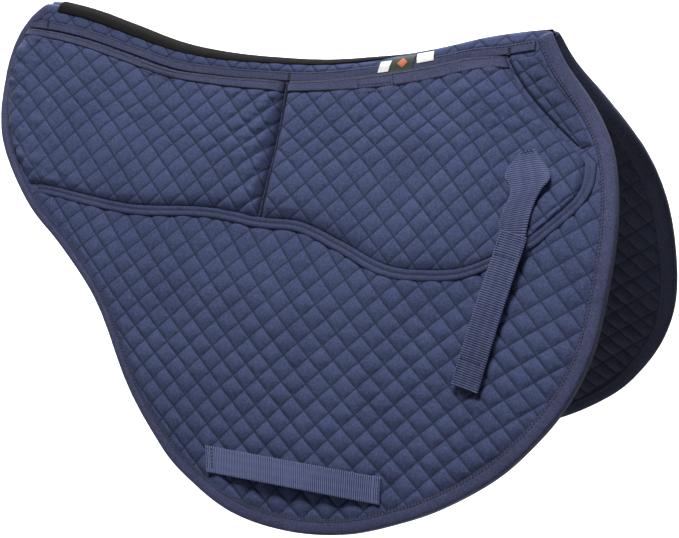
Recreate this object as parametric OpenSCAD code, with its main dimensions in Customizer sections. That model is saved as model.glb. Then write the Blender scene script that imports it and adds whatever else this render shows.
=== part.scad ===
// Quilted saddle pad, draped over a back. +X points to the horse's head, +Z up.
// The origin is on the spine seam at the lowest point of the ridge.
// The right half is built at negative Y, and the left half is its mirror image.

/* [Pad] */
// Thickness of each padded half away from the spine
pad_t = 8; // [6:0.5:10]
// Thickness of the woven cover and of the lining
skin_t = 0.8; // [0.5:0.1:1.2]
// Half of the gap left at the spine between the two halves
spine_gap = 7; // [6.5:0.25:8]
// Length of the pad along the spine, as a factor on the drawn outline
length_f = 1; // [0.95:0.01:1.05]

/* [Pockets] */
// Thickness of the removable foam inserts
insert_t = 4; // [2:0.5:5]
// Running clearance around each insert
insert_gap = 0.6; // [0.4:0.1:1]
// Thickness of the quilted pocket cloth
pocket_t = 1.2; // [0.8:0.1:2]
// Width of the tape along the pocket mouths
mouth_tape_w = 12; // [8:0.5:14]
// Width of the tape along the bottom of the pockets
hem_tape_w = 10; // [8:0.5:12]

/* [Straps and trim] */
// Width of the webbing straps
web_w = 25; // [20:1:28]
// Thickness of the webbing
web_t = 1.8; // [1.2:0.1:2.2]
// How far the girth strap bows away from the pad
girth_gap = 11; // [9:0.5:12]
// Width of the edge binding on each face
bind_w = 13; // [8:1:15]
// Thickness of the edge binding
bind_t = 1; // [0.8:0.1:1.2]

/* [Hidden] */

NAVY = [0.29, 0.31, 0.45];
DARK = [0.11, 0.12, 0.18];
BLACK = [0.10, 0.10, 0.12];
WEB = [0.24, 0.26, 0.38];
FOAM = [0.75, 0.76, 0.78];

// ---- smooth curve through hand-chosen points ----
function cr(P, t) = let (n = len(P) - 1, q = min(max(t, 0), 1) * n, i = min(floor(q), n - 1), f = q - i,
  a = P[max(i - 1, 0)], b = P[i], c = P[i + 1], d = P[min(i + 2, n)])
  0.5 * (2 * b + (c - a) * f + (2 * a - 5 * b + 4 * c - d) * f * f + (3 * b - a - 3 * c + d) * f * f * f);

// ---- ridge height along the horse, every 60 mm from x = -480 ----
RIDGE = [60, 60, 59, 49, 32, 14.5, 5, 1, 0, 5, 15, 28, 35, 36, 36, 36];
function ridge(x) = let (q = (x / length_f + 480) / 60) cr(RIDGE, q / (len(RIDGE) - 1));

// ---- cross-section: angle from the vertical against girth distance from the spine ----
FLARE = [[0, 86], [17, 8.5], [40, 11.3], [74, 15.9], [121, 33.1], [188, 28.1], [281, 21.9], [429, 21.9], [640, 21.9]];
function flare(s) = lookup(s, FLARE);
STEP = 2;
SECTION = [for (i = 0, y = 0, z = 0; i <= 300;
  y = y + STEP * sin(flare((i + 0.5) * STEP)), z = z + STEP * cos(flare((i + 0.5) * STEP)), i = i + 1) [i * STEP, y, z]];
SEC_Y = [for (p = SECTION) [p[0], p[1]]];
SEC_Z = [for (p = SECTION) [p[0], p[2]]];
// outward swell of the padded flank, fading out towards the front edge
SWELL = [[0, 0], [20, 0.5], [45, 4], [85, 6.5], [120, 6], [160, 2], [190, 0], [640, 0]];
SWELL_X = [[-420, 0.3], [-360, 0.8], [-300, 1], [150, 1], [270, 0], [400, 0]];
function swell(x, s) = lookup(s, SWELL) * lookup(x, SWELL_X);
// a point at x along the horse, s down the flank, n outwards
function pt(x, s, n) = let (a = flare(s), m = n + swell(x, s))
  [x * length_f, -(lookup(s, SEC_Y) + m * cos(a)), ridge(x * length_f) - lookup(s, SEC_Z) + m * sin(a)];

// padding thickness against girth distance: thin where the halves meet
THICK = [[0, 3.6], [17, 4], [40, 5.5], [80, pad_t], [640, pad_t]];
function thick(s) = lookup(s, THICK);

// ---- outline of one half in x and s ----
s0 = spine_gap;
TOP_X = [-352, 236];
FRONT = [[236, s0], [252, 38], [282, 73], [309, 116], [325, 175], [329, 240], [324, 305], [304, 358], [269, 407]];
REAR = [[-352, s0], [-382, 32], [-400, 75], [-394, 124], [-369, 180], [-315, 234], [-265, 260], [-219, 288], [-192, 313], [-144, 371], [-82, 424]];
HEM = [[-82, 424], [-16, 454], [54, 468], [127, 470], [191, 457], [239, 432], [269, 407]];
function coons(T, B, L, R, u, v) = (1 - v) * T + v * B + (1 - u) * L + u * R;
function pad_xs(u, v) = let (T = [TOP_X[0] + (TOP_X[1] - TOP_X[0]) * u, s0], B = cr(HEM, u), L = cr(REAR, v), R = cr(FRONT, v))
  coons(T, B, L, R, u, v) - (1 - u) * (1 - v) * REAR[0] - u * (1 - v) * FRONT[0] - (1 - u) * v * HEM[0] - u * v * HEM[len(HEM) - 1];

// ---- closed sheet between two grids of points, outer A and inner B ----
function flat2(M) = [for (r = M) for (p = r) p];
module sheet(A, B) {
  nu = len(A) - 1; nv = len(A[0]) - 1; N = (nu + 1) * (nv + 1);
  function a(i, j) = i * (nv + 1) + j;
  function b(i, j) = N + i * (nv + 1) + j;
  polyhedron(points = concat(flat2(A), flat2(B)), convexity = 6, faces = concat(
    [for (i = [0:nu - 1]) for (j = [0:nv - 1]) each [[a(i, j), a(i + 1, j), a(i + 1, j + 1)], [a(i, j), a(i + 1, j + 1), a(i, j + 1)]]],
    [for (i = [0:nu - 1]) for (j = [0:nv - 1]) each [[b(i, j), b(i + 1, j + 1), b(i + 1, j)], [b(i, j), b(i, j + 1), b(i + 1, j + 1)]]],
    [for (i = [0:nu - 1]) each [[b(i, 0), b(i + 1, 0), a(i + 1, 0)], [b(i, 0), a(i + 1, 0), a(i, 0)]]],
    [for (i = [0:nu - 1]) each [[a(i, nv), a(i + 1, nv), b(i + 1, nv)], [a(i, nv), b(i + 1, nv), b(i, nv)]]],
    [for (j = [0:nv - 1]) each [[b(0, j), a(0, j), a(0, j + 1)], [b(0, j), a(0, j + 1), b(0, j + 1)]]],
    [for (j = [0:nv - 1]) each [[a(nu, j), b(nu, j), b(nu, j + 1)], [a(nu, j), b(nu, j + 1), a(nu, j + 1)]]]));
}

// ---- padded layers ----
PU = 24;
PV_ROWS = [0, 0.015, 0.033, 0.058, 0.09, 0.13, 0.175, 0.225, 0.285, 0.35, 0.43, 0.51, 0.6, 0.69, 0.78, 0.86, 0.93, 1];
PV = len(PV_ROWS) - 1;
module pad_layer(k1, o1, k2, o2) {
  // the outer face is k1 thicknesses in plus o1, the inner face k2 thicknesses in plus o2
  sheet([for (i = [0:PU]) [for (j = [0:PV]) let (q = pad_xs(i / PU, PV_ROWS[j])) pt(q[0], q[1], -k1 * thick(q[1]) + o1)]],
    [for (i = [0:PU]) [for (j = [0:PV]) let (q = pad_xs(i / PU, PV_ROWS[j])) pt(q[0], q[1], -k2 * thick(q[1]) + o2)]]);
}
module shell_() { pad_layer(0, 0, 0, -skin_t); }
module batting_() { pad_layer(0, -skin_t - 0.15, 1, skin_t + 0.15); }
module lining_() { pad_layer(1, skin_t, 1, 0); }

// ---- edge binding, a folded tape swept round the outline ----
EDGE = concat([for (i = [1:PV]) cr(FRONT, PV_ROWS[i])],
  [for (i = [1:PU]) cr(HEM, 1 - i / PU)],
  [for (i = [1:PV - 1]) cr(REAR, PV_ROWS[PV - i])]);
function unit(v) = v / norm(v);
function edge_in(i) = let (a = EDGE[max(i - 1, 0)], b = EDGE[min(i + 1, len(EDGE) - 1)], t = unit(b - a)) [-t[1], t[0]];
bind_gap = 0.75; // the tape lies just clear of the cloth
module binding_() {
  n = len(EDGE) - 1;
  rings = [for (i = [0:n]) let (p = EDGE[i], d = edge_in(i),
      w = bind_w - 3 * min(1, max(0, (i - PV - 3) / PU)), q = p + d * w, o = p - d * 0.4, e = p - d * (0.4 + bind_t),
      tp = thick(p[1]), tq = thick(q[1]))
    [pt(q[0], q[1], bind_gap), pt(o[0], o[1], bind_gap), pt(o[0], o[1], -tp - bind_gap * 1.6), pt(q[0], q[1], -tq - bind_gap * 1.6),
     pt(q[0], q[1], -tq - bind_gap * 1.6 - bind_t), pt(e[0], e[1], -tp - bind_gap * 1.6 - bind_t), pt(e[0], e[1], bind_gap + bind_t), pt(q[0], q[1], bind_gap + bind_t)]];
  function k(i, j) = i * 8 + j % 8;
  polyhedron(points = flat2(rings), convexity = 8, faces = concat(
    [for (i = [0:n - 1]) for (j = [0:7]) each [[k(i, j), k(i + 1, j + 1), k(i, j + 1)], [k(i, j), k(i + 1, j), k(i + 1, j + 1)]]],
    [for (q = [[0, 1, 6, 7], [1, 2, 5, 6], [2, 3, 4, 5]]) each [[q[0], q[1], q[2]], [q[0], q[2], q[3]]]],
    [for (q = [[0, 1, 6, 7], [1, 2, 5, 6], [2, 3, 4, 5]]) each [[k(n, q[2]), k(n, q[1]), k(n, q[0])], [k(n, q[3]), k(n, q[2]), k(n, q[0])]]]));
}

// ---- pocket geometry ----
// the insert lies in a straight slope, so that it can be drawn out of the mouth
slope = 22.3;
slot_y = 18.3; slot_z = 20;
function slab(x, t, n) = [x * length_f, -(slot_y + t * sin(slope) + n * cos(slope)), ridge(x * length_f) - slot_z - t * cos(slope) + n * sin(slope)];
// how far outside the pad face at x, s the outer side of the insert lies
function slab_n(x, s) = let (p = pt(x, s, 0), y = -p[1], z = ridge(x * length_f) - p[2], a = flare(s),
    off = (slot_y - y) * cos(slope) + (z - slot_z) * sin(slope) + insert_t + insert_gap)
  off / cos(slope - a);
// lines of girth distance along the horse: top of the mouths and bottom hems
MOUTH = [[-400, 40], [-340, 39], [-300, 38], [-170, 34], [-130, 31], [-60, 29], [-36, 29], [7, 27], [60, 25], [160, 26], [190, 29], [240, 26]];
function mouth(x) = lookup(x, MOUTH);
REAR_HEM = [[-321, 211], [-225, 196], [-135, 175], [-90, 170], [-42, 173]];
REAR_SIDE = [[-374, 41], [-387.5, 75], [-382.5, 120], [-360, 171], [-321, 211]];
FRONT_HEM = [[-36, 173], [10, 174], [60, 194], [110, 220], [150, 231], [190, 234], [225, 222], [252, 206]];
FRONT_SIDE = [[196, 29], [214, 60], [244, 92], [275, 118], [289, 134.5], [287, 165], [252, 206]];
function rear_xs(u, v) = let (xt = -374 + 332 * u, T = [xt, mouth(xt)], B = cr(REAR_HEM, u), L = cr(REAR_SIDE, v), R = [-42, mouth(-42) + (173 - mouth(-42)) * v])
  coons(T, B, L, R, u, v) - (1 - u) * (1 - v) * [-374, mouth(-374)] - u * (1 - v) * [-42, mouth(-42)] - (1 - u) * v * [-321, 211] - u * v * [-42, 173];
function front_xs(u, v) = let (xt = -36 + 232 * u, T = [xt, mouth(xt)], B = cr(FRONT_HEM, u), R = cr(FRONT_SIDE, v), L = [-36, mouth(-36) + (173 - mouth(-36)) * v])
  coons(T, B, L, R, u, v) - (1 - u) * (1 - v) * [-36, mouth(-36)] - u * (1 - v) * [196, mouth(196)] - (1 - u) * v * [-36, 173] - u * v * [252, 206];
UG = [0, 0.035, 0.07, 0.16, 0.27, 0.38, 0.5, 0.62, 0.73, 0.84, 0.93, 0.965, 1];
UGF = [0, 0.035, 0.07, 0.16, 0.27, 0.38, 0.49, 0.58, 0.64, 0.7, 0.75, 0.8, 0.86, 0.93, 0.965, 1];
VG = [0, 0.1, 0.25, 0.42, 0.6, 0.75, 0.85, 0.93, 1];
// the cloth stands clear of the insert inside, and comes down to the pad at its seams
DAMP = [[187, 1], [206, 0.35], [300, 0.25]]; // ahead of the insert the cloth lies lower
function stand_off(x, s) = 0.6 + max(1, (slab_n(x, s) + 2) * lookup(x, DAMP));
function cover_n(x, s, u, v) = let (k = min(1, min(u, 1 - u) / 0.07) * min(1, (1 - v) / 0.15)) 0.6 + k * (stand_off(x, s) - 0.6);
module rear_pocket_() {
  function f(u, v, n) = let (q = rear_xs(u, v)) pt(q[0], q[1], cover_n(q[0], q[1], u, v) + n);
  sheet([for (u = UG) [for (v = VG) f(u, v, pocket_t)]], [for (u = UG) [for (v = VG) f(u, v, 0)]]);
}
module front_pocket_() {
  function f(u, v, n) = let (q = front_xs(u, v)) pt(q[0], q[1], cover_n(q[0], q[1], u, v) + n);
  sheet([for (u = UGF) [for (v = VG) f(u, v, pocket_t)]], [for (u = UGF) [for (v = VG) f(u, v, 0)]]);
}
module mouth_tape_(front) {
  // folded tape on the outer side of the mouth's edge
  function g(u, w, n) = let (v = w / 165, q = front ? front_xs(u, v) : rear_xs(u, v)) pt(q[0], q[1], cover_n(q[0], q[1], u, v) + pocket_t + 0.4 + n);
  WG = [0, 0.5, 1];
  U = front ? UGF : UG;
  sheet([for (u = U) [for (w = WG) g(u, w * mouth_tape_w, 1)]], [for (u = U) [for (w = WG) g(u, w * mouth_tape_w, 0)]]);
}
// hem tape along the bottom of both pockets and up the front of the front one
HN = 16;
HEM_LINE = concat([for (i = [0:HN - 1]) cr(REAR_HEM, 0.045 + 0.955 * i / HN)], [[-39, 172.6]], [for (i = [1:HN]) cr(FRONT_HEM, i / HN)],
  [for (i = [1:8]) cr(FRONT_SIDE, 1 - i / 8 * 0.36)]);
function line_in(L, i) = let (a = L[max(i - 1, 0)], b = L[min(i + 1, len(L) - 1)], t = unit(b - a)) [t[1], -t[0]];
module strip_(L, w1, w2, n1, n2) {
  // tape along a line of x, s points: w1 and w2 are its edges' offsets, n1 and n2 its faces
  sheet([for (i = [0:len(L) - 1]) let (d = line_in(L, i)) [for (w = [w1, w2]) let (q = L[i] + d * w) pt(q[0], q[1], n2)]],
    [for (i = [0:len(L) - 1]) let (d = line_in(L, i)) [for (w = [w1, w2]) let (q = L[i] + d * w) pt(q[0], q[1], n1)]]);
}
module hem_tape_() { strip_(HEM_LINE, -1.2, -hem_tape_w - 0.6, 0.8, 2.4); }
UPPER = [for (i = [0:26]) let (x = -362 + 586 * i / 26) [x, mouth(x) - 2]];
module upper_tape_() {
  sheet([for (q = UPPER) [pt(q[0], q[1] - 8.5, 1.4), pt(q[0], q[1] - 4, 1.4), pt(q[0], q[1], 1.4)]], [for (q = UPPER) [pt(q[0], q[1] - 8.5, 0.4), pt(q[0], q[1] - 4, 0.4), pt(q[0], q[1], 0.4)]]);
}
DIVIDER = [for (i = [0:8]) [-39, 31 + 140 * i / 8]];
module divider_tape_() { sheet([for (w = [-1.6, 1.6]) [for (q = DIVIDER) pt(q[0] + w, q[1], 2.6)]], [for (w = [-1.6, 1.6]) [for (q = DIVIDER) pt(q[0] + w, q[1], 0.7)]]); }
// flat quilted panel ahead of the front pocket
WITHER_A = [[199, 31], [219, 60], [249, 91], [279, 115]];
WITHER_B = [[229, 31], [240, 48], [262, 76], [288.5, 112]];
module wither_panel_() {
  function f(u, v, n) = let (q = (1 - u) * cr(WITHER_A, v) + u * cr(WITHER_B, v)) pt(q[0] + 1.5, q[1], n);
  sheet([for (u = [0:0.25:1]) [for (v = [0:0.125:1]) f(u, v, u > 0.6 ? 1.6 : 2.6)]], [for (u = [0:0.25:1]) [for (v = [0:0.125:1]) f(u, v, 0.8)]]);
}
// touch-fastener tabs: hook side on the pad, loop side under the pocket cloth
TABS = [[-209, -168], [48, 82]];
module hook_tabs_() {
  for (t = TABS) sheet([for (i = [0:3]) let (x = t[0] + (t[1] - t[0]) * i / 3) [for (j = [0:2]) pt(x, mouth(x) + 1 + 7 * j, 1.3)]],
    [for (i = [0:3]) let (x = t[0] + (t[1] - t[0]) * i / 3) [for (j = [0:2]) pt(x, mouth(x) + 1 + 7 * j, 0.4)]]);
}
module loop_tabs_() {
  for (t = TABS) sheet([for (i = [0:3]) let (x = t[0] + (t[1] - t[0]) * i / 3) [for (j = [0:1]) let (s = mouth(x) + 1 + 10 * j) pt(x, s, slab_n(x, s) + 1.7)]],
    [for (i = [0:3]) let (x = t[0] + (t[1] - t[0]) * i / 3) [for (j = [0:1]) let (s = mouth(x) + 1 + 10 * j) pt(x, s, slab_n(x, s) + 0.8)]]);
}
// bar tacks that close the ends of each mouth
TACKS = [[-350, 33], [-39, 24], [199, 25]];
module bar_tacks_() {
  for (t = TACKS) sheet([for (w = [-1.2, 1.2]) [for (j = [0:2]) pt(t[0] + w, t[1] + 3 * j - 3, 2.2)]], [for (w = [-1.2, 1.2]) [for (j = [0:2]) pt(t[0] + w, t[1] + 3 * j - 3, 1.55)]]);
}

// ---- foam inserts: straight down the flank, curved along the horse with the ridge ----
IR_TOP = [[-352, 20], [-300, 18.5], [-180, 14.5], [-120, 11.5], [-66, 10]];
IR_BOT = [[-300, 152], [-260, 150], [-190, 134], [-120, 120], [-66, 116]];
IF_TOP = [[-14, 9.5], [30, 7.5], [80, 6], [125, 6], [164, 8]];
IF_BOT = [[-14, 118], [30, 124], [80, 142], [125, 150], [170, 146]];
module insert_(T, B) {
  function f(u, v, n) = let (q = (1 - v) * cr(T, u) + v * cr(B, u)) slab(q[0], q[1], n);
  sheet([for (i = [0:14]) [for (j = [0:4]) f(i / 14, j / 4, insert_t)]], [for (i = [0:14]) [for (j = [0:4]) f(i / 14, j / 4, 0)]]);
}
module rear_insert_() { insert_(IR_TOP, IR_BOT); }
module front_insert_() { insert_(IF_TOP, IF_BOT); }

// ---- billet strap: anchor sewn at the wither panel's corner, strap and folded tail ----
BILLET = [[236, 152], [238, 185], [236, 215], [231, 245], [226, 285], [219, 338]];
BILLET_N = [[0, 7.4], [0.2, 7], [0.4, 5.6], [0.75, 4], [1, 3]];
module web_(L, w, n, a, b, k, t1 = web_t) {
  // webbing along a line of x, s points between shares a and b, standing off the pad
  // by lookup(share, BILLET_N) and n more
  pts = [for (i = [0:k]) cr(L, a + (b - a) * i / k)];
  sheet([for (e = [-w / 2, w / 2]) [for (i = [0:k]) let (t = a + (b - a) * i / k) pt(pts[i][0] + e, pts[i][1], lookup(t, BILLET_N) + n + t1)]],
    [for (e = [-w / 2, w / 2]) [for (i = [0:k]) let (t = a + (b - a) * i / k) pt(pts[i][0] + e, pts[i][1], lookup(t, BILLET_N) + n)]]);
}
ANCHOR = [[221, 116], [226, 125], [231, 134], [235, 143]];
module billet_anchor_() {
  // sewn flat on the pocket cloth, so it follows the cloth's own stand-off
  function g(t, e, n) = let (q = cr(ANCHOR, t), x = q[0] + e, s = q[1] - e * 0.35) pt(x, s, stand_off(x, s) + pocket_t + 2.6 + n);
  sheet([for (e = [-0.5:0.25:0.5]) [for (i = [0:4]) g(i / 4, e * web_w, web_t)]], [for (e = [-0.5:0.25:0.5]) [for (i = [0:4]) g(i / 4, e * web_w, 0)]]);
}
module billet_strap_() { web_(BILLET, web_w, 0, 0.02, 0.984, 12); }
module billet_loop_patch_() { web_(BILLET, web_w - 4, web_t + 0.05, 0.3, 0.86, 8, 0.5); }
module billet_tail_() { web_(BILLET, web_w, web_t + 0.85, 0.26, 1, 10); }

// ---- girth strap: one length of webbing, sewn down at both ends and bowed between ----
GIRTH = [[-46, 413], [-10, 414.5], [40, 418.5], [100, 427], [151, 434.5]];
GIRTH_BOW = [[0, 0.35], [0.07, 0.35], [0.2, girth_gap * 0.8], [0.35, girth_gap], [0.65, girth_gap], [0.8, girth_gap * 0.8], [0.93, 0.35], [1, 0.35]];
module girth_strap_() {
  function g(t, w, n) = let (q = cr(GIRTH, t)) pt(q[0] + w * 0.13, q[1] + w, lookup(t, GIRTH_BOW) + n);
  TG = [0, 0.035, 0.07, 0.11, 0.155, 0.2, 0.27, 0.35, 0.45, 0.55, 0.65, 0.73, 0.8, 0.845, 0.89, 0.93, 0.965, 1];
  sheet([for (t = TG) [for (w = [-web_w / 2, 0, web_w / 2]) g(t, w, web_t)]], [for (t = TG) [for (w = [-web_w / 2, 0, web_w / 2]) g(t, w, 0)]]);
}
module girth_ends_() {
  function g(t, w, n) = let (q = cr(GIRTH, t)) pt(q[0] + w * 0.13, q[1] + w, 0.35 + web_t + 0.1 + n);
  for (e = [[0.003, 0.06], [0.94, 0.997]]) sheet([for (t = e) [for (w = [-web_w / 2, 0, web_w / 2]) g(t, w, 0.8)]], [for (t = e) [for (w = [-web_w / 2, 0, web_w / 2]) g(t, w, 0)]]);
}

// ---- spine: welt between the halves, black band over it and tape under it ----
function across(x, q, n) = let (p = pt(x, abs(q), n)) [p[0], q < 0 ? p[1] : -p[1], p[2]];
BAND = [[-380, 17], [-240, 16], [-150, 13.5], [-60, 11], [0, 10], [120, 9], [260, 9]];
SX = [for (i = [0:26]) -349 + 582 * i / 26];
module spine_strip_(hw, n1, n2) {
  // sheet() wants the outer face seen from negative Y, so q runs from the left side over to the right
  Q = [1, 0.72, 0.45, 0.2, 0, -0.2, -0.45, -0.72, -1];
  sheet([for (x = SX) [for (q = Q) let (w = lookup(x, hw)) across(x, q * w, n2)]], [for (x = SX) [for (q = Q) let (w = lookup(x, hw)) across(x, q * w, n1)]]);
}
module spine_core() { color(NAVY) spine_strip_([[-400, s0 - 0.6], [400, s0 - 0.6]], -2.6, 0); }
module spine_band() { color(BLACK) spine_strip_(BAND, 0.45, 1.85); }
module spine_lining() { color(DARK) spine_strip_([[-400, s0 - 0.6], [400, s0 - 0.6]], -3.4, -2.8); }

// ---- sewn-in labels at the mouth of the right front pocket, blank ----
module label_(x1, x2, s1, s2, n) {
  sheet([for (i = [0:3]) [for (j = [0:3]) pt(x1 + (x2 - x1) * i / 3, s1 + (s2 - s1) * j / 3, n + 0.4)]],
    [for (i = [0:3]) [for (j = [0:3]) pt(x1 + (x2 - x1) * i / 3, s1 + (s2 - s1) * j / 3, n)]]);
}
module care_label() { color("white") { label_(64, 73.5, 10.5, 20, 1.55); label_(100.5, 116, 10.5, 20.5, 1.55); } }
module woven_label() { color([0.1, 0.16, 0.14]) label_(74.5, 99.5, 10.5, 21, 1.55); }

// ---- sides ----
module right_shell() { color(NAVY) shell_(); }
module right_batting() { color("white") batting_(); }
module right_lining() { color(DARK) lining_(); }
module right_binding() { color(NAVY) binding_(); }
module right_upper_tape() { color(WEB) upper_tape_(); }
module right_rear_pocket() { color(NAVY) rear_pocket_(); }
module right_front_pocket() { color(NAVY) front_pocket_(); }
module right_wither_panel() { color(NAVY) wither_panel_(); }
module right_rear_mouth_tape() { color(WEB) mouth_tape_(false); }
module right_front_mouth_tape() { color(WEB) mouth_tape_(true); }
module right_hem_tape() { color(WEB) hem_tape_(); }
module right_divider_tape() { color(NAVY) divider_tape_(); }
module right_hook_tabs() { color(BLACK) hook_tabs_(); }
module right_loop_tabs() { color(BLACK) loop_tabs_(); }
module right_bar_tacks() { color(DARK) bar_tacks_(); }
module right_rear_insert() { color(FOAM) rear_insert_(); }
module right_front_insert() { color(FOAM) front_insert_(); }
module right_billet_anchor() { color(WEB) billet_anchor_(); }
module right_billet_strap() { color(WEB) billet_strap_(); }
module right_billet_loop_patch() { color(BLACK) billet_loop_patch_(); }
module right_billet_tail() { color(WEB) billet_tail_(); }
module right_girth_strap() { color(WEB) girth_strap_(); }
module right_girth_ends() { color(WEB) girth_ends_(); }
module left() { mirror([0, 1, 0]) children(); }
module left_shell() { color(NAVY) left() shell_(); }
module left_batting() { color("white") left() batting_(); }
module left_lining() { color(DARK) left() lining_(); }
module left_binding() { color(NAVY) left() binding_(); }
module left_upper_tape() { color(WEB) left() upper_tape_(); }
module left_rear_pocket() { color(NAVY) left() rear_pocket_(); }
module left_front_pocket() { color(NAVY) left() front_pocket_(); }
module left_wither_panel() { color(NAVY) left() wither_panel_(); }
module left_rear_mouth_tape() { color(WEB) left() mouth_tape_(false); }
module left_front_mouth_tape() { color(WEB) left() mouth_tape_(true); }
module left_hem_tape() { color(WEB) left() hem_tape_(); }
module left_divider_tape() { color(NAVY) left() divider_tape_(); }
module left_hook_tabs() { color(BLACK) left() hook_tabs_(); }
module left_loop_tabs() { color(BLACK) left() loop_tabs_(); }
module left_bar_tacks() { color(DARK) left() bar_tacks_(); }
module left_rear_insert() { color(FOAM) left() rear_insert_(); }
module left_front_insert() { color(FOAM) left() front_insert_(); }
module left_billet_anchor() { color(WEB) left() billet_anchor_(); }
module left_billet_strap() { color(WEB) left() billet_strap_(); }
module left_billet_loop_patch() { color(BLACK) left() billet_loop_patch_(); }
module left_billet_tail() { color(WEB) left() billet_tail_(); }
module left_girth_strap() { color(WEB) left() girth_strap_(); }
module left_girth_ends() { color(WEB) left() girth_ends_(); }

spine_core();
spine_band();
spine_lining();
care_label();
woven_label();
right_shell();
right_batting();
right_lining();
right_binding();
right_upper_tape();
right_rear_pocket();
right_front_pocket();
right_wither_panel();
right_rear_mouth_tape();
right_front_mouth_tape();
right_hem_tape();
right_divider_tape();
right_hook_tabs();
right_loop_tabs();
right_bar_tacks();
right_rear_insert();
right_front_insert();
right_billet_anchor();
right_billet_strap();
right_billet_loop_patch();
right_billet_tail();
right_girth_strap();
right_girth_ends();
left_shell();
left_batting();
left_lining();
left_binding();
left_upper_tape();
left_rear_pocket();
left_front_pocket();
left_wither_panel();
left_rear_mouth_tape();
left_front_mouth_tape();
left_hem_tape();
left_divider_tape();
left_hook_tabs();
left_loop_tabs();
left_bar_tacks();
left_rear_insert();
left_front_insert();
left_billet_anchor();
left_billet_strap();
left_billet_loop_patch();
left_billet_tail();
left_girth_strap();
left_girth_ends();
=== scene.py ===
import bpy, math
import numpy as np
from mathutils import Matrix, Vector


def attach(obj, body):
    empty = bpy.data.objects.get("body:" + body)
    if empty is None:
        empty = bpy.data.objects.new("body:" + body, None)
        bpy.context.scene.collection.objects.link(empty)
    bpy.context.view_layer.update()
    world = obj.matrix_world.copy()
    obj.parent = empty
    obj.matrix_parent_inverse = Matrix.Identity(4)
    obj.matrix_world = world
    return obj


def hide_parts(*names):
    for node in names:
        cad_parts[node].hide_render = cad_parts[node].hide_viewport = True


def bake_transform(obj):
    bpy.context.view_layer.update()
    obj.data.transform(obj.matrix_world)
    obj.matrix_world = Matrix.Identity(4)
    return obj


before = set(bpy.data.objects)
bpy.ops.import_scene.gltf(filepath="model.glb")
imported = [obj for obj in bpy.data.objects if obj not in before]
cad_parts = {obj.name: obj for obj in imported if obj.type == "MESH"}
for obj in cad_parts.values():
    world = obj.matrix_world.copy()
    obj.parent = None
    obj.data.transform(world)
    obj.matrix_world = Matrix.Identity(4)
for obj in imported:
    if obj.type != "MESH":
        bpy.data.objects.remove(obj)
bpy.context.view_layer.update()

# ------------------------------------------------------------------ pad surface (mm)
FLARE = np.array([[0, 86], [17, 8.5], [40, 11.3], [74, 15.9], [121, 33.1], [188, 28.1], [281, 21.9], [429, 21.9], [640, 21.9]])
SWELL = np.array([[0, 0], [20, 0.5], [45, 4], [85, 6.5], [120, 6], [160, 2], [190, 0], [640, 0]])
SWELL_X = np.array([[-420, 0.3], [-360, 0.8], [-300, 1], [150, 1], [270, 0], [400, 0]])
THICK = np.array([[0, 3.6], [17, 4], [40, 5.5], [80, 8], [640, 8]])
RIDGE = np.array([60, 60, 59, 49, 32, 14.5, 5, 1, 0, 5, 15, 28, 35, 36, 36, 36], float)


def lk(x, table):
    return np.interp(x, table[:, 0], table[:, 1])


def cr(P, t):
    """Catmull-Rom curve through the points P, t from 0 to 1."""
    P = np.asarray(P, float)
    one = P.ndim == 1
    if one:
        P = P[:, None]
    t = np.asarray(t, float)
    n = len(P) - 1
    q = np.clip(t, 0, 1) * n
    i = np.minimum(q.astype(int), n - 1)
    f = (q - i)[..., None]
    a, b, c, d = P[np.maximum(i - 1, 0)], P[i], P[i + 1], P[np.minimum(i + 2, n)]
    r = 0.5 * (2 * b + (c - a) * f + (2 * a - 5 * b + 4 * c - d) * f ** 2 + (3 * b - a - 3 * c + d) * f ** 3)
    return r[..., 0] if one else r


def ridge(x):
    return cr(RIDGE, (np.asarray(x, float) + 480) / 60 / 15)


_mid = np.radians(lk((np.arange(600) + 0.5), FLARE))
SEC_S = np.arange(601.0)
SEC_Y = np.concatenate([[0], np.cumsum(np.sin(_mid))])
SEC_Z = np.concatenate([[0], np.cumsum(np.cos(_mid))])


def swell(x, s):
    # rounded version of the swell, so that no facets show
    return lk(s, SWELL_S) * lk(x, SWELL_X)


_ss = np.arange(-60.0, 700.0, 2.0)
_sw = lk(_ss, SWELL)
_k = np.hanning(15)
SWELL_S = np.stack([_ss, np.convolve(_sw, _k / _k.sum(), mode="same")], -1)
_fl = np.array([lk(np.clip(v, 0, None), FLARE) for v in _ss])


def pt(x, s, n=0.0):
    """A point x along the horse, s down the flank from the spine and n outwards, on the right half, in mm."""
    x, s = np.asarray(x, float), np.asarray(s, float)
    a = np.radians(lk(s, FLARE))
    m = n + swell(x, s)
    y = np.interp(s, SEC_S, SEC_Y) + m * np.cos(a)
    z = ridge(x) - np.interp(s, SEC_S, SEC_Z) + m * np.sin(a)
    return np.stack([x + 0 * y, -y, z], -1)


def thick(s):
    return lk(s, THICK)


S0 = 7.0
FRONT = [[236, S0], [252, 38], [282, 73], [309, 116], [325, 175], [329, 240], [324, 305], [304, 358], [269, 407]]
REAR = [[-352, S0], [-382, 32], [-400, 75], [-394, 124], [-369, 180], [-315, 234], [-265, 260], [-219, 288], [-192, 313], [-144, 371], [-82, 424]]
HEM = [[-82, 424], [-16, 454], [54, 468], [127, 470], [191, 457], [239, 432], [269, 407]]


def coons(T, B, L, R, u, v, c00, c10, c01, c11):
    u, v = u[..., None], v[..., None]
    return ((1 - v) * T + v * B + (1 - u) * L + u * R - (1 - u) * (1 - v) * np.array(c00, float)
            - u * (1 - v) * np.array(c10, float) - (1 - u) * v * np.array(c01, float) - u * v * np.array(c11, float))


def pad_xs(u, v):
    T = np.stack([-352 + 588 * u, S0 + 0 * u], -1)
    return coons(T, cr(HEM, u), cr(REAR, v), cr(FRONT, v), u, v, REAR[0], FRONT[0], HEM[0], HEM[-1])


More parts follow.
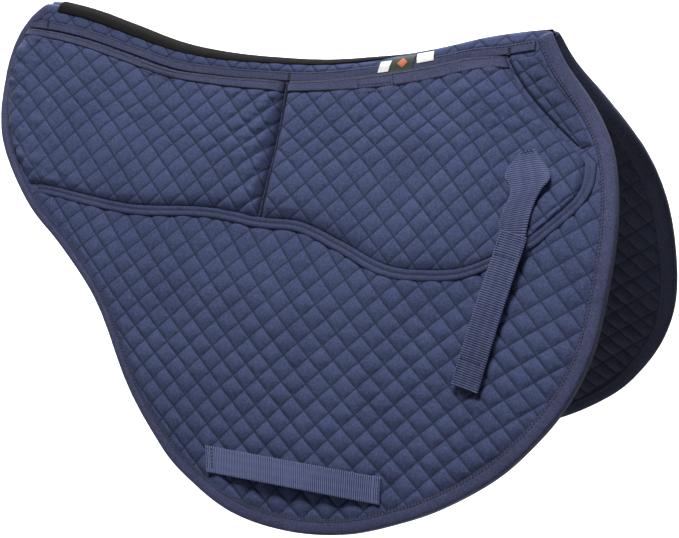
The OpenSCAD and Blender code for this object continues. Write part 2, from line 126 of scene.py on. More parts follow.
MOUTH = np.array([[-400, 40], [-340, 39], [-300, 38], [-170, 34], [-130, 31], [-60, 29], [-36, 29], [7, 27], [60, 25], [160, 26], [190, 29], [240, 26]], float)
_mx = np.arange(-420.0, 262.0, 2.0)
_mk = np.hanning(21)
_my = np.convolve(np.pad(lk(_mx, MOUTH), 10, mode="edge"), _mk / _mk.sum(), mode="valid")


def mouth(x):
    return np.interp(x, _mx, _my)


REAR_HEM = [[-321, 211], [-225, 196], [-135, 175], [-90, 170], [-42, 173]]
REAR_SIDE = [[-374, 41], [-387.5, 75], [-382.5, 120], [-360, 171], [-321, 211]]
FRONT_HEM = [[-36, 173], [10, 174], [60, 194], [110, 220], [150, 231], [190, 234], [225, 222], [252, 206]]
FRONT_SIDE = [[196, 29], [214, 60], [244, 92], [275, 118], [289, 134.5], [287, 165], [252, 206]]


def rear_xs(u, v):
    xt = -374 + 332 * u
    T = np.stack([xt, mouth(xt)], -1)
    m0, m1 = float(mouth(-374)), float(mouth(-42))
    R = np.stack([-42 + 0 * v, m1 + (173 - m1) * v], -1)
    return coons(T, cr(REAR_HEM, u), cr(REAR_SIDE, v), R, u, v, [-374, m0], [-42, m1], [-321, 211], [-42, 173])


def front_xs(u, v):
    xt = -36 + 232 * u
    T = np.stack([xt, mouth(xt)], -1)
    m0, m1 = float(mouth(-36)), float(mouth(196))
    L = np.stack([-36 + 0 * v, m0 + (173 - m0) * v], -1)
    return coons(T, cr(FRONT_HEM, u), L, cr(FRONT_SIDE, v), u, v, [-36, m0], [196, m1], [-36, 173], [252, 206])


SLOPE, SLOT_Y, SLOT_Z = math.radians(22.3), 18.3, 20.0
INSERT_T, INSERT_GAP = 4.0, 0.6
_dx = np.linspace(150, 300, 76)
_dq = np.clip((_dx - 160) / 72, 0, 1)
DAMP = np.stack([_dx, 1 - 0.58 * _dq * _dq * (3 - 2 * _dq)], -1)


def slab(x, t, n):
    x = np.asarray(x, float)
    return np.stack([x, -(SLOT_Y + t * math.sin(SLOPE) + n * math.cos(SLOPE)), ridge(x) - SLOT_Z - t * math.cos(SLOPE) + n * math.sin(SLOPE)], -1)


def slab_n(x, s):
    p = pt(x, s, 0)
    y, z = -p[..., 1], ridge(x) - p[..., 2]
    off = (SLOT_Y - y) * math.cos(SLOPE) + (z - SLOT_Z) * math.sin(SLOPE) + INSERT_T + INSERT_GAP
    return off / np.cos(SLOPE - np.radians(lk(s, FLARE)))


def stand_off(x, s):
    return 0.45 + np.maximum(1, (slab_n(x, s) + 2) * lk(x, DAMP))


# ------------------------------------------------------------------ seeded smooth noise
_rng = np.random.RandomState(11)
_lat = _rng.rand(8, 256, 256)


def noise(x, y, size, seed=0):
    """Smooth noise from -1 to 1, of the given feature size in mm."""
    x, y = np.asarray(x, float) / size + 37.3, np.asarray(y, float) / size + 91.7
    i, j = np.floor(x).astype(int), np.floor(y).astype(int)
    f, g = x - i, y - j
    f, g = f * f * f * (f * (6 * f - 15) + 10), g * g * g * (g * (6 * g - 15) + 10)
    L = _lat[seed % 8]
    a, b, c, d = L[i % 256, j % 256], L[(i + 1) % 256, j % 256], L[i % 256, (j + 1) % 256], L[(i + 1) % 256, (j + 1) % 256]
    return 2 * ((a * (1 - f) + b * f) * (1 - g) + (c * (1 - f) + d * f) * g) - 1


def smooth(e0, e1, x):
    t = np.clip((np.asarray(x, float) - e0) / (e1 - e0), 0, 1)
    return t * t * (3 - 2 * t)


# ------------------------------------------------------------------ quilting
# Each family of seams is where its phase is a whole number. The phase is a low
# polynomial of x and s, because the cloth's straight seams bend as it drapes.
FAMILY = {
    "low": ([0.77, -7.52, 6.54, -1.19, 0.44, 2.63, -0.08, 0.46, -0.34, -0.80], [0.47, 7.19, 7.6, -1.12, -0.38, -0.2, 0.17, 0.23, 0.67, -0.3]),
    "rear": ([0.08, -9.93, 6.72, -4.05, 0.83, -2.33, -1.12, 0.61, -0.14, -1.74], [0.71, 1.81, 6.62, -7.07, -4.03, 1.31, -1.89, -2.02, -1.11, 2.16]),
    "front": ([0.89, -7.42, 8.5, -1.22, -1.09, 0.72, 0.28, 0.84, -1.05, -0.12], [0.62, 6.88, 8.69, -0.84, -2.45, 2.85, 0.8, 1.37, -2.12, 2.63]),
    "plain": ([0.2, -7.6, 8.2, 0, 0, 0, 0, 0, 0, 0], [0.5, 7.6, 8.2, 0, 0, 0, 0, 0, 0, 0]),
}


SHIFT = {"low": (-0.075, -0.05), "rear": (0.0, -0.175), "front": (-0.14, -0.17), "plain": (0, 0)}
SPAN = {"low": (-215, 170, 205, 430), "rear": (-350, -55, 45, 180), "front": (-30, 225, 40, 205), "plain": (-400, 400, 0, 500)}


def phases(kind, x, s, n=0.0):
    """The two phases; outside the middle of the panel they run on straight. n is how far the cloth stands off the flank."""
    x, s = x - 0.564 * n, s - 0.162 * n
    x0, x1, s0_, s1 = SPAN[kind]
    xc, sc = np.clip(x, x0, x1), np.clip(s, s0_, s1)
    X, Y = xc / 200.0, (sc - 200.0) / 200.0
    dx, dy = (x - xc) / 200.0, (s - sc) / 200.0
    B = [np.ones_like(X), X, Y, X * X, X * Y, Y * Y, X ** 3, X * X * Y, X * Y * Y, Y ** 3]
    BX = [0 * X, 1 + 0 * X, 0 * X, 2 * X, Y, 0 * X, 3 * X * X, 2 * X * Y, Y * Y, 0 * X]
    BY = [0 * X, 0 * X, 1 + 0 * X, 0 * X, X, 2 * Y, 0 * X, X * X, 2 * X * Y, 3 * Y * Y]
    out = []
    for c, shift in zip(FAMILY[kind], SHIFT[kind]):
        out.append(shift + sum(p * (q + dx * qx + dy * qy) for p, q, qx, qy in zip(c, B, BX, BY)))
    return out[0], out[1]


def puff(ua, ub, pa=0.55, pb=0.55):
    fa, fb = np.abs(np.sin(np.pi * ua)), np.abs(np.sin(np.pi * ub))
    return (fa + 1e-4) ** pa * (fb + 1e-4) ** pb


def quilt(x, s, ua, ub, height, seed=0, pa=0.55, pb=0.55):
    """Height of the quilted cloth over its seams, with the small puckers that the thread pulls in."""
    da = np.abs(ua - np.round(ua)) * 18
    db = np.abs(ub - np.round(ub)) * 18
    p = puff(ua, ub, pa, pb)
    near = np.exp(-np.minimum(da, db) / 3.5)
    pucker = noise(x, s, 4.2, seed) * 0.28 * near + noise(x * 1.0, s, 8.5, seed + 1) * 0.22 * (0.35 + near)
    cell = 1 + 0.18 * noise(np.floor(ua) * 31.7, np.floor(ub) * 17.3, 7.0, seed + 2)
    return height * p * cell + pucker * height / 2.0


# ------------------------------------------------------------------ mesh building
def build(name, V, faces, mats, side, uv=None, face_mat=None, extra=()):
    """V in mm on the right half; the left half is its mirror image. faces are arrays of quads or lists of polygons."""
    V = np.asarray(V, float).reshape(-1, 3) / 1000.0
    if side > 0:
        V = V * np.array([1, -1, 1])
    polys = []
    counts, loops, fm = [], [], []
    for k, F in enumerate(faces):
        if isinstance(F, np.ndarray):
            G = F if side < 0 else F[:, ::-1]
            loops.append(G.reshape(-1))
            counts.append(np.full(len(G), F.shape[1]))
            fm.append(np.full(len(G), 0 if face_mat is None else face_mat[k]))
        else:
            for f in F:
                g = f if side < 0 else f[::-1]
                loops.append(np.array(g))
                counts.append(np.array([len(g)]))
            fm.append(np.full(len(F), 0 if face_mat is None else face_mat[k]))
    loops = np.concatenate(loops).astype(np.int32)
    counts = np.concatenate(counts).astype(np.int32)
    fm = np.concatenate(fm).astype(np.int32)
    used = np.zeros(len(V), bool)
    used[loops] = True
    remap = np.cumsum(used) - 1
    loops = remap[loops].astype(np.int32)
    V = V[used]
    me = bpy.data.meshes.new(name)
    me.vertices.add(len(V))
    me.vertices.foreach_set("co", V.astype(np.float32).ravel())
    me.loops.add(len(loops))
    me.loops.foreach_set("vertex_index", loops)
    me.polygons.add(len(counts))
    starts = np.concatenate([[0], np.cumsum(counts)[:-1]]).astype(np.int32)
    me.polygons.foreach_set("loop_start", starts)
    me.polygons.foreach_set("loop_total", counts)
    me.polygons.foreach_set("material_index", fm)
    me.polygons.foreach_set("use_smooth", np.ones(len(counts), bool))
    for m in mats:
        me.materials.append(m)
    for n, arr in (uv or {}).items():
        arr = np.asarray(arr, float).reshape(-1, 2)[used]
        layer = me.uv_layers.new(name=n)
        layer.data.foreach_set("uv", arr[loops].astype(np.float32).ravel())
    me.update(calc_edges=True)
    me.validate()
    o = bpy.data.objects.new(name, me)
    bpy.context.scene.collection.objects.link(o)
    return o


def quads(nu, nv, off=0):
    i, j = np.meshgrid(np.arange(nu), np.arange(nv), indexing="ij")
    a = off + i * (nv + 1) + j
    return np.stack([a, a + 1, a + nv + 2, a + nv + 1], -1).reshape(-1, 4)


def closed(name, A, B, mats, side, uv=None, step=4, back_mat=0):
    """A dense outer face and a coarser back face, closed at the rim. A and B are (nu+1, nv+1, 3)."""
    nu, nv = A.shape[0] - 1, A.shape[1] - 1
    N = (nu + 1) * (nv + 1)
    a = lambda i, j: i * (nv + 1) + j
    b = lambda i, j: N + i * (nv + 1) + j
    front = quads(nu, nv)
    rim = []
    I = np.arange(nu)
    rim.append(np.stack([a(I, 0), a(I + 1, 0), b(I + 1, 0), b(I, 0)], -1))
    rim.append(np.stack([a(I + 1, nv), a(I, nv), b(I, nv), b(I + 1, nv)], -1))
    J = np.arange(nv)
    rim.append(np.stack([a(0, J + 1), a(0, J), b(0, J), b(0, J + 1)], -1))
    rim.append(np.stack([a(nu, J), a(nu, J + 1), b(nu, J + 1), b(nu, J)], -1))
    gi = list(range(0, nu, step)) + [nu]
    gj = list(range(0, nv, step)) + [nv]
    back = []
    for p in range(len(gi) - 1):
        for q in range(len(gj) - 1):
            i0, i1, j0, j1 = gi[p], gi[p + 1], gj[q], gj[q + 1]
            top = [b(i, j0) for i in (range(i0, i1 + 1) if j0 == 0 else (i0, i1))]
            right = [b(i1, j) for j in (range(j0, j1 + 1) if i1 == nu else (j0, j1))]
            bot = [b(i, j1) for i in (range(i1, i0 - 1, -1) if j1 == nv else (i1, i0))]
            left = [b(i0, j) for j in (range(j1, j0 - 1, -1) if i0 == 0 else (j1, j0))]
            back.append(top[:-1] + right[:-1] + bot[:-1] + left[:-1])
    uv2 = {k: np.concatenate([v.reshape(-1, 2), v.reshape(-1, 2)]) for k, v in (uv or {}).items()}
    return build(name, np.concatenate([A.reshape(-1, 3), B.reshape(-1, 3)]), [front] + rim + [back], mats, side, uv2,
                 face_mat=[0, 0, 0, 0, 0, back_mat])


def sweep(name, rings, mats, side, uv=None, caps=True):
    """rings: (n, k, 3), each a closed loop; the loops run so that the surface faces out on the right half."""
    n, k = rings.shape[:2]
    i, j = np.meshgrid(np.arange(n - 1), np.arange(k), indexing="ij")
    f = np.stack([i * k + j, (i + 1) * k + j, (i + 1) * k + (j + 1) % k, i * k + (j + 1) % k], -1).reshape(-1, 4)
    faces = [f]
    if caps:
        faces.append([list(range(k)), list(range(n * k - 1, (n - 1) * k - 1, -1))])
    return build(name, rings.reshape(-1, 3), faces, mats, side, uv)


def fix_normals(o):
    import bmesh
    bm = bmesh.new()
    bm.from_mesh(o.data)
    bmesh.ops.recalc_face_normals(bm, faces=bm.faces)
    bm.to_mesh(o.data)
    bm.free()
    o.data.polygons.foreach_set("use_smooth", np.ones(len(o.data.polygons), bool))
    return o


def stitches(name, rows, mat, side, pitch=3.4, length=2.5, radius=0.5):
    """Rows of sewn thread. rows: list of (P, N): points in mm along each row and outward normals."""
    Vs, Fs, off = [], [], 0
    for P, N in rows:
        P = np.asarray(P, float)
        d = np.concatenate([[0], np.cumsum(np.linalg.norm(np.diff(P, axis=0), axis=1))])
        n = int(d[-1] / pitch)
        if n < 1:
            continue
        at = (np.arange(n) + 0.5) * pitch
        C = np.stack([np.interp(at, d, P[:, k]) for k in range(3)], -1)
        E = np.stack([np.interp(at + 0.5, d, P[:, k]) for k in range(3)], -1)
        T = E - np.stack([np.interp(at - 0.5, d, P[:, k]) for k in range(3)], -1)
        T /= np.linalg.norm(T, axis=1)[:, None] + 1e-9
        M = np.stack([np.interp(at, d, N[:, k]) for k in range(3)], -1)
        M /= np.linalg.norm(M, axis=1)[:, None] + 1e-9
        W = np.cross(T, M)
        h = length / 2
        ring = []
        for a, r in ((-h, 0.0), (-h * 0.55, 1.0), (h * 0.55, 1.0), (h, 0.0)):
            if r == 0:
                ring.append((C + T * a - M * radius * 0.9)[:, None])
            else:
                ring.append(np.stack([C + T * a + W * radius * math.cos(q) + M * radius * math.sin(q) for q in (0, math.pi / 3, 2 * math.pi / 3, math.pi)], 1))
        V = np.concatenate(ring, 1)  # 1 + 4 + 4 + 1
        m = V.shape[0]
        f = [[0, 2, 1], [0, 3, 2], [0, 4, 3], [1, 2, 6, 5], [2, 3, 7, 6], [3, 4, 8, 7], [5, 6, 9], [6, 7, 9], [7, 8, 9], [0, 1, 5, 9, 8, 4]]
        base = off + 10 * np.arange(m)
        for q in f:
            Fs.append((base[:, None] + np.array(q)[None]).astype(int))
        Vs.append(V.reshape(-1, 3))
        off += 10 * m
    return build(name, np.concatenate(Vs), Fs, [mat], side)


# ------------------------------------------------------------------ materials
def material(name):
    m = bpy.data.materials.new(name)
    m.use_nodes = True
    nt = m.node_tree
    nt.nodes.clear()
    out = nt.nodes.new("ShaderNodeOutputMaterial")
    p = nt.nodes.new("ShaderNodeBsdfPrincipled")
    nt.links.new(p.outputs[0], out.inputs[0])
    return m, nt, p


def N(nt, kind, **kw):
    n = nt.nodes.new(kind)
    for k, v in kw.items():
        setattr(n, k, v)
    return n


def mathn(nt, op, a, b=None, c=None, clamp=False):
    n = nt.nodes.new("ShaderNodeMath")
    n.operation = op
    n.use_clamp = clamp
    for i, v in enumerate((a, b, c)):
        if v is None:
            continue
        if isinstance(v, (int, float)):
            n.inputs[i].default_value = v
        else:
            nt.links.new(v, n.inputs[i])
    return n.outputs[0]


def ramp01(nt, x, lo, hi, a=0.0, b=1.0):
    n = nt.nodes.new("ShaderNodeMapRange")
    n.interpolation_type = "SMOOTHSTEP"
    nt.links.new(x, n.inputs[0])
    n.inputs[1].default_value, n.inputs[2].default_value = lo, hi
    n.inputs[3].default_value, n.inputs[4].default_value = a, b
    return n.outputs[0]


def mixc(nt, f, a, b, mode="MIX"):
    n = nt.nodes.new("ShaderNodeMix")
    n.data_type = "RGBA"
    n.blend_type = mode
    if isinstance(f, (int, float)):
        n.inputs[0].default_value = f
    else:
        nt.links.new(f, n.inputs[0])
    for i, v in ((6, a), (7, b)):
        if isinstance(v, (tuple, list)):
            n.inputs[i].default_value = (*v, 1)
        else:
            nt.links.new(v, n.inputs[i])
    return n.outputs[2]


def noise_tex(nt, vec, scale, detail=2, rough=0.5):
    n = nt.nodes.new("ShaderNodeTexNoise")
    n.inputs["Scale"].default_value = scale
    n.inputs["Detail"].default_value = detail
    n.inputs["Roughness"].default_value = rough
    if vec is not None:
        nt.links.new(vec, n.inputs["Vector"])
    return n.outputs[0]


def cotton(name, dark, light, quilted=True, rough=0.88, sheen=0.25, weave=0.5, twill=True):
    """Cotton twill: diagonal ribs, mottled dye, and painted shade darkening the quilt seam creases, with thread dashes.
    """
    m, nt, p = material(name)
    uv = N(nt, "ShaderNodeUVMap", uv_map="Cloth").outputs[0]
    tc = N(nt, "ShaderNodeTexCoord").outputs["Object"]
    sep = nt.nodes.new("ShaderNodeSeparateXYZ")
    nt.links.new(uv, sep.inputs[0])
    x, s = sep.outputs[0], sep.outputs[1]          # in mm
    blotch = noise_tex(nt, tc, 16, 3, 0.6)
    fine = noise_tex(nt, tc, 520, 3, 0.7)
    slub = noise_tex(nt, tc, 130, 2, 0.5)
    col = mixc(nt, ramp01(nt, blotch, 0.3, 0.7), dark, light)
    col = mixc(nt, ramp01(nt, fine, 0.42, 0.72, 0.0, 0.6), col, tuple(min(1, c * 1.55) for c in light))
    col = mixc(nt, ramp01(nt, fine, 0.5, 0.26, 0.0, 0.5), col, tuple(c * 0.55 for c in dark))
    col = mixc(nt, ramp01(nt, slub, 0.62, 0.8, 0.0, 0.3), col, tuple(c * 0.72 for c in dark))
    # twill ribs 0.9 mm apart
    diag = mathn(nt, "ADD", x, mathn(nt, "MULTIPLY", s, 0.8))
    rib = mathn(nt, "SINE", mathn(nt, "MULTIPLY", diag, 2 * math.pi / 0.9))
    warp = mathn(nt, "SINE", mathn(nt, "MULTIPLY", mathn(nt, "SUBTRACT", x, mathn(nt, "MULTIPLY", s, 1.1)), 2 * math.pi / 0.7))
    h = mathn(nt, "ADD", mathn(nt, "MULTIPLY", rib, 0.5 if twill else 0.2), mathn(nt, "MULTIPLY", warp, 0.3))
    h = mathn(nt, "ADD", h, mathn(nt, "MULTIPLY", fine, 1.6))
    if quilted:
        q = N(nt, "ShaderNodeUVMap", uv_map="Quilt").outputs[0]
        sq = nt.nodes.new("ShaderNodeSeparateXYZ")
        nt.links.new(q, sq.inputs[0])
        lines = []
        for me_, other in ((0, 1), (1, 0)):
            d = mathn(nt, "MULTIPLY", mathn(nt, "ABSOLUTE", mathn(nt, "SUBTRACT", mathn(nt, "FRACT", mathn(nt, "ADD", sq.outputs[me_], 0.5)), 0.5)), 18.0)
            crease = ramp01(nt, d, 0.2, 1.15, 1.0, 0.0)
            wide = ramp01(nt, d, 0.4, 3.2, 1.0, 0.0)
            dash = ramp01(nt, mathn(nt, "SINE", mathn(nt, "MULTIPLY", sq.outputs[other], 2 * math.pi * 6)), -0.35, 0.1)
            thread = mathn(nt, "MULTIPLY", ramp01(nt, d, 0.25, 0.5, 1.0, 0.0), dash)
            lines.append((crease, thread, wide))
        crease = mathn(nt, "MAXIMUM", lines[0][0], lines[1][0])
        thread = mathn(nt, "MAXIMUM", lines[0][1], lines[1][1])
        wide = mathn(nt, "MAXIMUM", lines[0][2], lines[1][2])
        # painted shade: a broad darkening around each quilt seam and a deeper one in its crease, where the valleys lie
        # in shade
        col = mixc(nt, mathn(nt, "MULTIPLY", wide, 0.10), col, tuple(c * 0.5 for c in dark))
        col = mixc(nt, mathn(nt, "MULTIPLY", crease, 0.60), col, tuple(c * 0.24 for c in dark))
        col = mixc(nt, mathn(nt, "MULTIPLY", thread, 0.35), col, tuple(c * 0.6 for c in light))
        h = mathn(nt, "ADD", h, mathn(nt, "MULTIPLY", crease, -3.5))
        h = mathn(nt, "ADD", h, mathn(nt, "MULTIPLY", wide, -3.5))
        h = mathn(nt, "ADD", h, mathn(nt, "MULTIPLY", thread, 2.6))
    nt.links.new(col, p.inputs["Base Color"])
    nt.links.new(ramp01(nt, slub, 0.3, 0.8, rough - 0.06, rough + 0.06), p.inputs["Roughness"])
    b = nt.nodes.new("ShaderNodeBump")
    b.inputs["Strength"].default_value = weave
    b.inputs["Distance"].default_value = 0.00014
    nt.links.new(h, b.inputs["Height"])
    nt.links.new(b.outputs[0], p.inputs["Normal"])
    p.inputs["Sheen Weight"].default_value = sheen
    p.inputs["Sheen Roughness"].default_value = 0.45
    p.inputs["Specular IOR Level"].default_value = 0.14
    return m


def webbing_mat(name, dark, light, pitch=2.1, rough=0.75, sheen=0.03, spec=0.18, contrast=0.62):
    """Ribbed woven tape: ribs across, fine warp threads along."""
    m, nt, p = material(name)
    uv = N(nt, "ShaderNodeUVMap", uv_map="Cloth").outputs[0]
    tc = N(nt, "ShaderNodeTexCoord").outputs["Object"]
    sep = nt.nodes.new("ShaderNodeSeparateXYZ")
    nt.links.new(uv, sep.inputs[0])
    a, b = sep.outputs[0], sep.outputs[1]          # a along the tape, b across, in mm
    rib = mathn(nt, "SINE", mathn(nt, "MULTIPLY", a, 2 * math.pi / pitch))
    row = mathn(nt, "FLOOR", mathn(nt, "DIVIDE", a, pitch / 2))
    thr = mathn(nt, "SINE", mathn(nt, "MULTIPLY", mathn(nt, "ADD", b, mathn(nt, "MULTIPLY", row, 0.45)), 2 * math.pi / 0.9))
    fine = noise_tex(nt, tc, 500, 2, 0.6)
    blotch = noise_tex(nt, tc, 40, 2, 0.5)
    f = mathn(nt, "ADD", mathn(nt, "MULTIPLY", rib, contrast), mathn(nt, "MULTIPLY", thr, 0.16))
    stripe = ramp01(nt, mathn(nt, "SINE", mathn(nt, "MULTIPLY", b, 2 * math.pi / 7.6)), -0.2, 0.9, 0.0, 0.14)
    f = mathn(nt, "ADD", f, stripe)
    f = mathn(nt, "ADD", f, mathn(nt, "MULTIPLY", fine, 0.5))
    f = mathn(nt, "ADD", f, mathn(nt, "MULTIPLY", blotch, 0.4))
    col = mixc(nt, ramp01(nt, f, 0.1, 0.9), dark, light)
    nt.links.new(col, p.inputs["Base Color"])
    nt.links.new(ramp01(nt, fine, 0.2, 0.8, rough - 0.08, rough + 0.08), p.inputs["Roughness"])
    h = mathn(nt, "ADD", mathn(nt, "MULTIPLY", rib, 1.0), mathn(nt, "MULTIPLY", thr, 0.6))
    h = mathn(nt, "ADD", h, mathn(nt, "MULTIPLY", fine, 0.8))
    bp = nt.nodes.new("ShaderNodeBump")
    bp.inputs["Strength"].default_value = 0.6
    bp.inputs["Distance"].default_value = 0.00035
    nt.links.new(h, bp.inputs["Height"])
    nt.links.new(bp.outputs[0], p.inputs["Normal"])
    p.inputs["Sheen Weight"].default_value = sheen
    p.inputs["Specular IOR Level"].default_value = spec
    return m


def plain_mat(name, dark, light, scale=200, rough=0.8, bump=0.4, distance=0.0002, sheen=0.1):
    m, nt, p = material(name)
    tc = N(nt, "ShaderNodeTexCoord").outputs["Object"]
    n1, n2 = noise_tex(nt, tc, scale, 3, 0.6), noise_tex(nt, tc, scale / 9, 2, 0.5)
    col = mixc(nt, ramp01(nt, mathn(nt, "ADD", mathn(nt, "MULTIPLY", n1, 0.6), mathn(nt, "MULTIPLY", n2, 0.4)), 0.35, 0.65), dark, light)
    nt.links.new(col, p.inputs["Base Color"])
    nt.links.new(ramp01(nt, n1, 0.2, 0.8, rough - 0.08, rough + 0.08), p.inputs["Roughness"])
    bp = nt.nodes.new("ShaderNodeBump")
    bp.inputs["Strength"].default_value = bump
    bp.inputs["Distance"].default_value = distance
    nt.links.new(n1, bp.inputs["Height"])
    nt.links.new(bp.outputs[0], p.inputs["Normal"])
    p.inputs["Sheen Weight"].default_value = sheen
    return m


COTTON = cotton("cotton_navy", (0.0355, 0.0465, 0.105), (0.0465, 0.0605, 0.132), sheen=0.03)
# a darker copy of the navy cotton, as painted shade on the recessed wither quilting
COTTON_SHADE = cotton("cotton_navy_painted_shade", (0.028, 0.036, 0.080), (0.037, 0.048, 0.103), sheen=0.02)
COTTON_FLAT = cotton("cotton_navy_flat", (0.0355, 0.0465, 0.105), (0.0465, 0.0605, 0.132), quilted=False, sheen=0.03)
TAPE = cotton("tape_navy", (0.037, 0.043, 0.088), (0.047, 0.054, 0.107), quilted=False, rough=0.8, weave=0.6, sheen=0.03)
HEM_TAPE = cotton("hem_tape_navy", (0.031, 0.039, 0.086), (0.041, 0.051, 0.108), quilted=False, rough=0.8, weave=0.6, sheen=0.03)
BIND = cotton("binding_navy", (0.036, 0.041, 0.088), (0.047, 0.053, 0.110), quilted=False, rough=0.82, weave=0.5, sheen=0.03)
LINING = cotton("lining_dark", (0.011, 0.013, 0.027), (0.017, 0.020, 0.040), rough=0.9, sheen=0.05)
WEB = webbing_mat("webbing_navy", (0.007, 0.010, 0.028), (0.134, 0.161, 0.328))
SPINE = webbing_mat("spine_band_black", (0.006, 0.006, 0.0065), (0.015, 0.015, 0.016), pitch=1.2, rough=0.9, sheen=0.0, spec=0.04, contrast=0.3)
# near-black navy as painted shade: the binding's inner faces, the cut edges of the pocket cloths and the upper rim of
# the mouth tapes
PAINTED_SHADE_NAVY = cotton("navy_painted_shade", (0.012, 0.014, 0.030), (0.019, 0.022, 0.045), quilted=False, rough=0.85, weave=0.5, sheen=0.02)
THREAD = plain_mat("thread_navy", (0.005, 0.006, 0.014), (0.012, 0.014, 0.030), 900, 0.7, sheen=0.0)
# near-black seam tape as painted shade in the valleys of the divider and wither seams
SEAM = cotton("seam_navy_painted_shade", (0.007, 0.009, 0.020), (0.011, 0.014, 0.030), quilted=False, rough=0.9, weave=0.5, sheen=0.0)
FOAM = plain_mat("foam_charcoal", (0.026, 0.027, 0.031), (0.040, 0.041, 0.047), 700, 0.9, 0.5, 0.0003, 0.0)
WAD = plain_mat("wadding_white", (0.72, 0.72, 0.70), (0.82, 0.82, 0.80), 160, 0.95, 0.8, 0.0006, 0.2)
HOOK = plain_mat("touch_fastener_black", (0.010, 0.010, 0.012), (0.028, 0.028, 0.032), 1300, 0.75, 1.0, 0.0006, 0.1)
LABEL_W = plain_mat("label_satin", (0.70, 0.70, 0.68), (0.80, 0.80, 0.78), 300, 0.45, 0.2, 0.0001, 0.1)
LABEL_D = plain_mat("label_woven_green", (0.012, 0.020, 0.014), (0.030, 0.040, 0.028), 900, 0.7, 0.5, 0.0002, 0.1)
LABEL_A = plain_mat("label_woven_red", (0.36, 0.06, 0.03), (0.50, 0.14, 0.07), 900, 0.7, 0.5, 0.0002, 0.1)

# ------------------------------------------------------------------ outline and distance to it
_t = np.linspace(0, 1, 241)
EDGE = np.concatenate([cr(FRONT, 0.015 + 0.985 * _t[:-1]), cr(HEM, 1 - _t[:-1]), cr(REAR, 1 - 0.985 * _t)])
_d = np.concatenate([[0], np.cumsum(np.linalg.norm(np.diff(EDGE, axis=0), axis=1))])
_n = int(_d[-1] / 2.4)
_a = np.linspace(0, _d[-1], _n + 1)
_sm = np.stack([np.interp(_a, _d, EDGE[:, k]) for k in (0, 1)], -1)
_kk = np.hanning(25)
_kk /= _kk.sum()
_pad = np.concatenate([2 * _sm[0] - _sm[12:0:-1], _sm, 2 * _sm[-1] - _sm[-2:-14:-1]])
EDGE = np.stack([np.convolve(_pad[:, k], _kk, mode="valid") for k in (0, 1)], -1)
_T = np.gradient(EDGE, axis=0)
_T /= np.linalg.norm(_T, axis=1)[:, None]
EDGE_IN = np.stack([-_T[:, 1], _T[:, 0]], -1)


def edge_distance(xs):
    P = xs.reshape(-1, 2)
    out = np.empty(len(P))
    E = EDGE[::2]
    for k in range(0, len(P), 8000):
        q = P[k:k + 8000]
        out[k:k + 8000] = np.sqrt(((q[:, None] - E[None]) ** 2).sum(-1).min(1))
    return out.reshape(xs.shape[:-1])


def uv_of(xs):
    return xs.copy()


def grid(nu, nv, fn, vpow=1.0):
    u, v = np.meshgrid(np.linspace(0, 1, nu + 1), np.linspace(0, 1, nv + 1) ** vpow, indexing="ij")
    return u, v, fn(u, v)


# hem line of the pockets, as s against x, for where the quilted panel shows below them
_h = np.concatenate([cr(REAR_HEM, np.linspace(0, 1, 40)), cr(FRONT_HEM, np.linspace(0, 1, 60))])


def low_quilt_height(x, s):
    """Quilting is full below the pockets and ahead of the front one; it is pressed flat under them."""
    hem = np.interp(x, _h[:, 0], _h[:, 1], left=225, right=206)
    below = smooth(2, 14, s - hem)
    ahead = smooth(0, 12, x - np.interp(s, [29, 48, 76, 112, 119, 134, 165, 206], [231, 244, 266, 292, 294, 296, 292, 258]))
    return np.maximum(below, ahead)


def walls(o, m, across=0):
    """Cut edges of a cloth, between its two faces, take its second material, a painted shade; with across, so does the
    first row of its outer face along the upper edge. m is how many points its outer face has, and across how many of
    them lie in a row from its upper edge to its lower.
    """
    for f in o.data.polygons:
        if min(f.vertices) < m <= max(f.vertices) or (across and max(f.vertices) < m and max(i % across for i in f.vertices) <= 1):
            f.material_index = 1


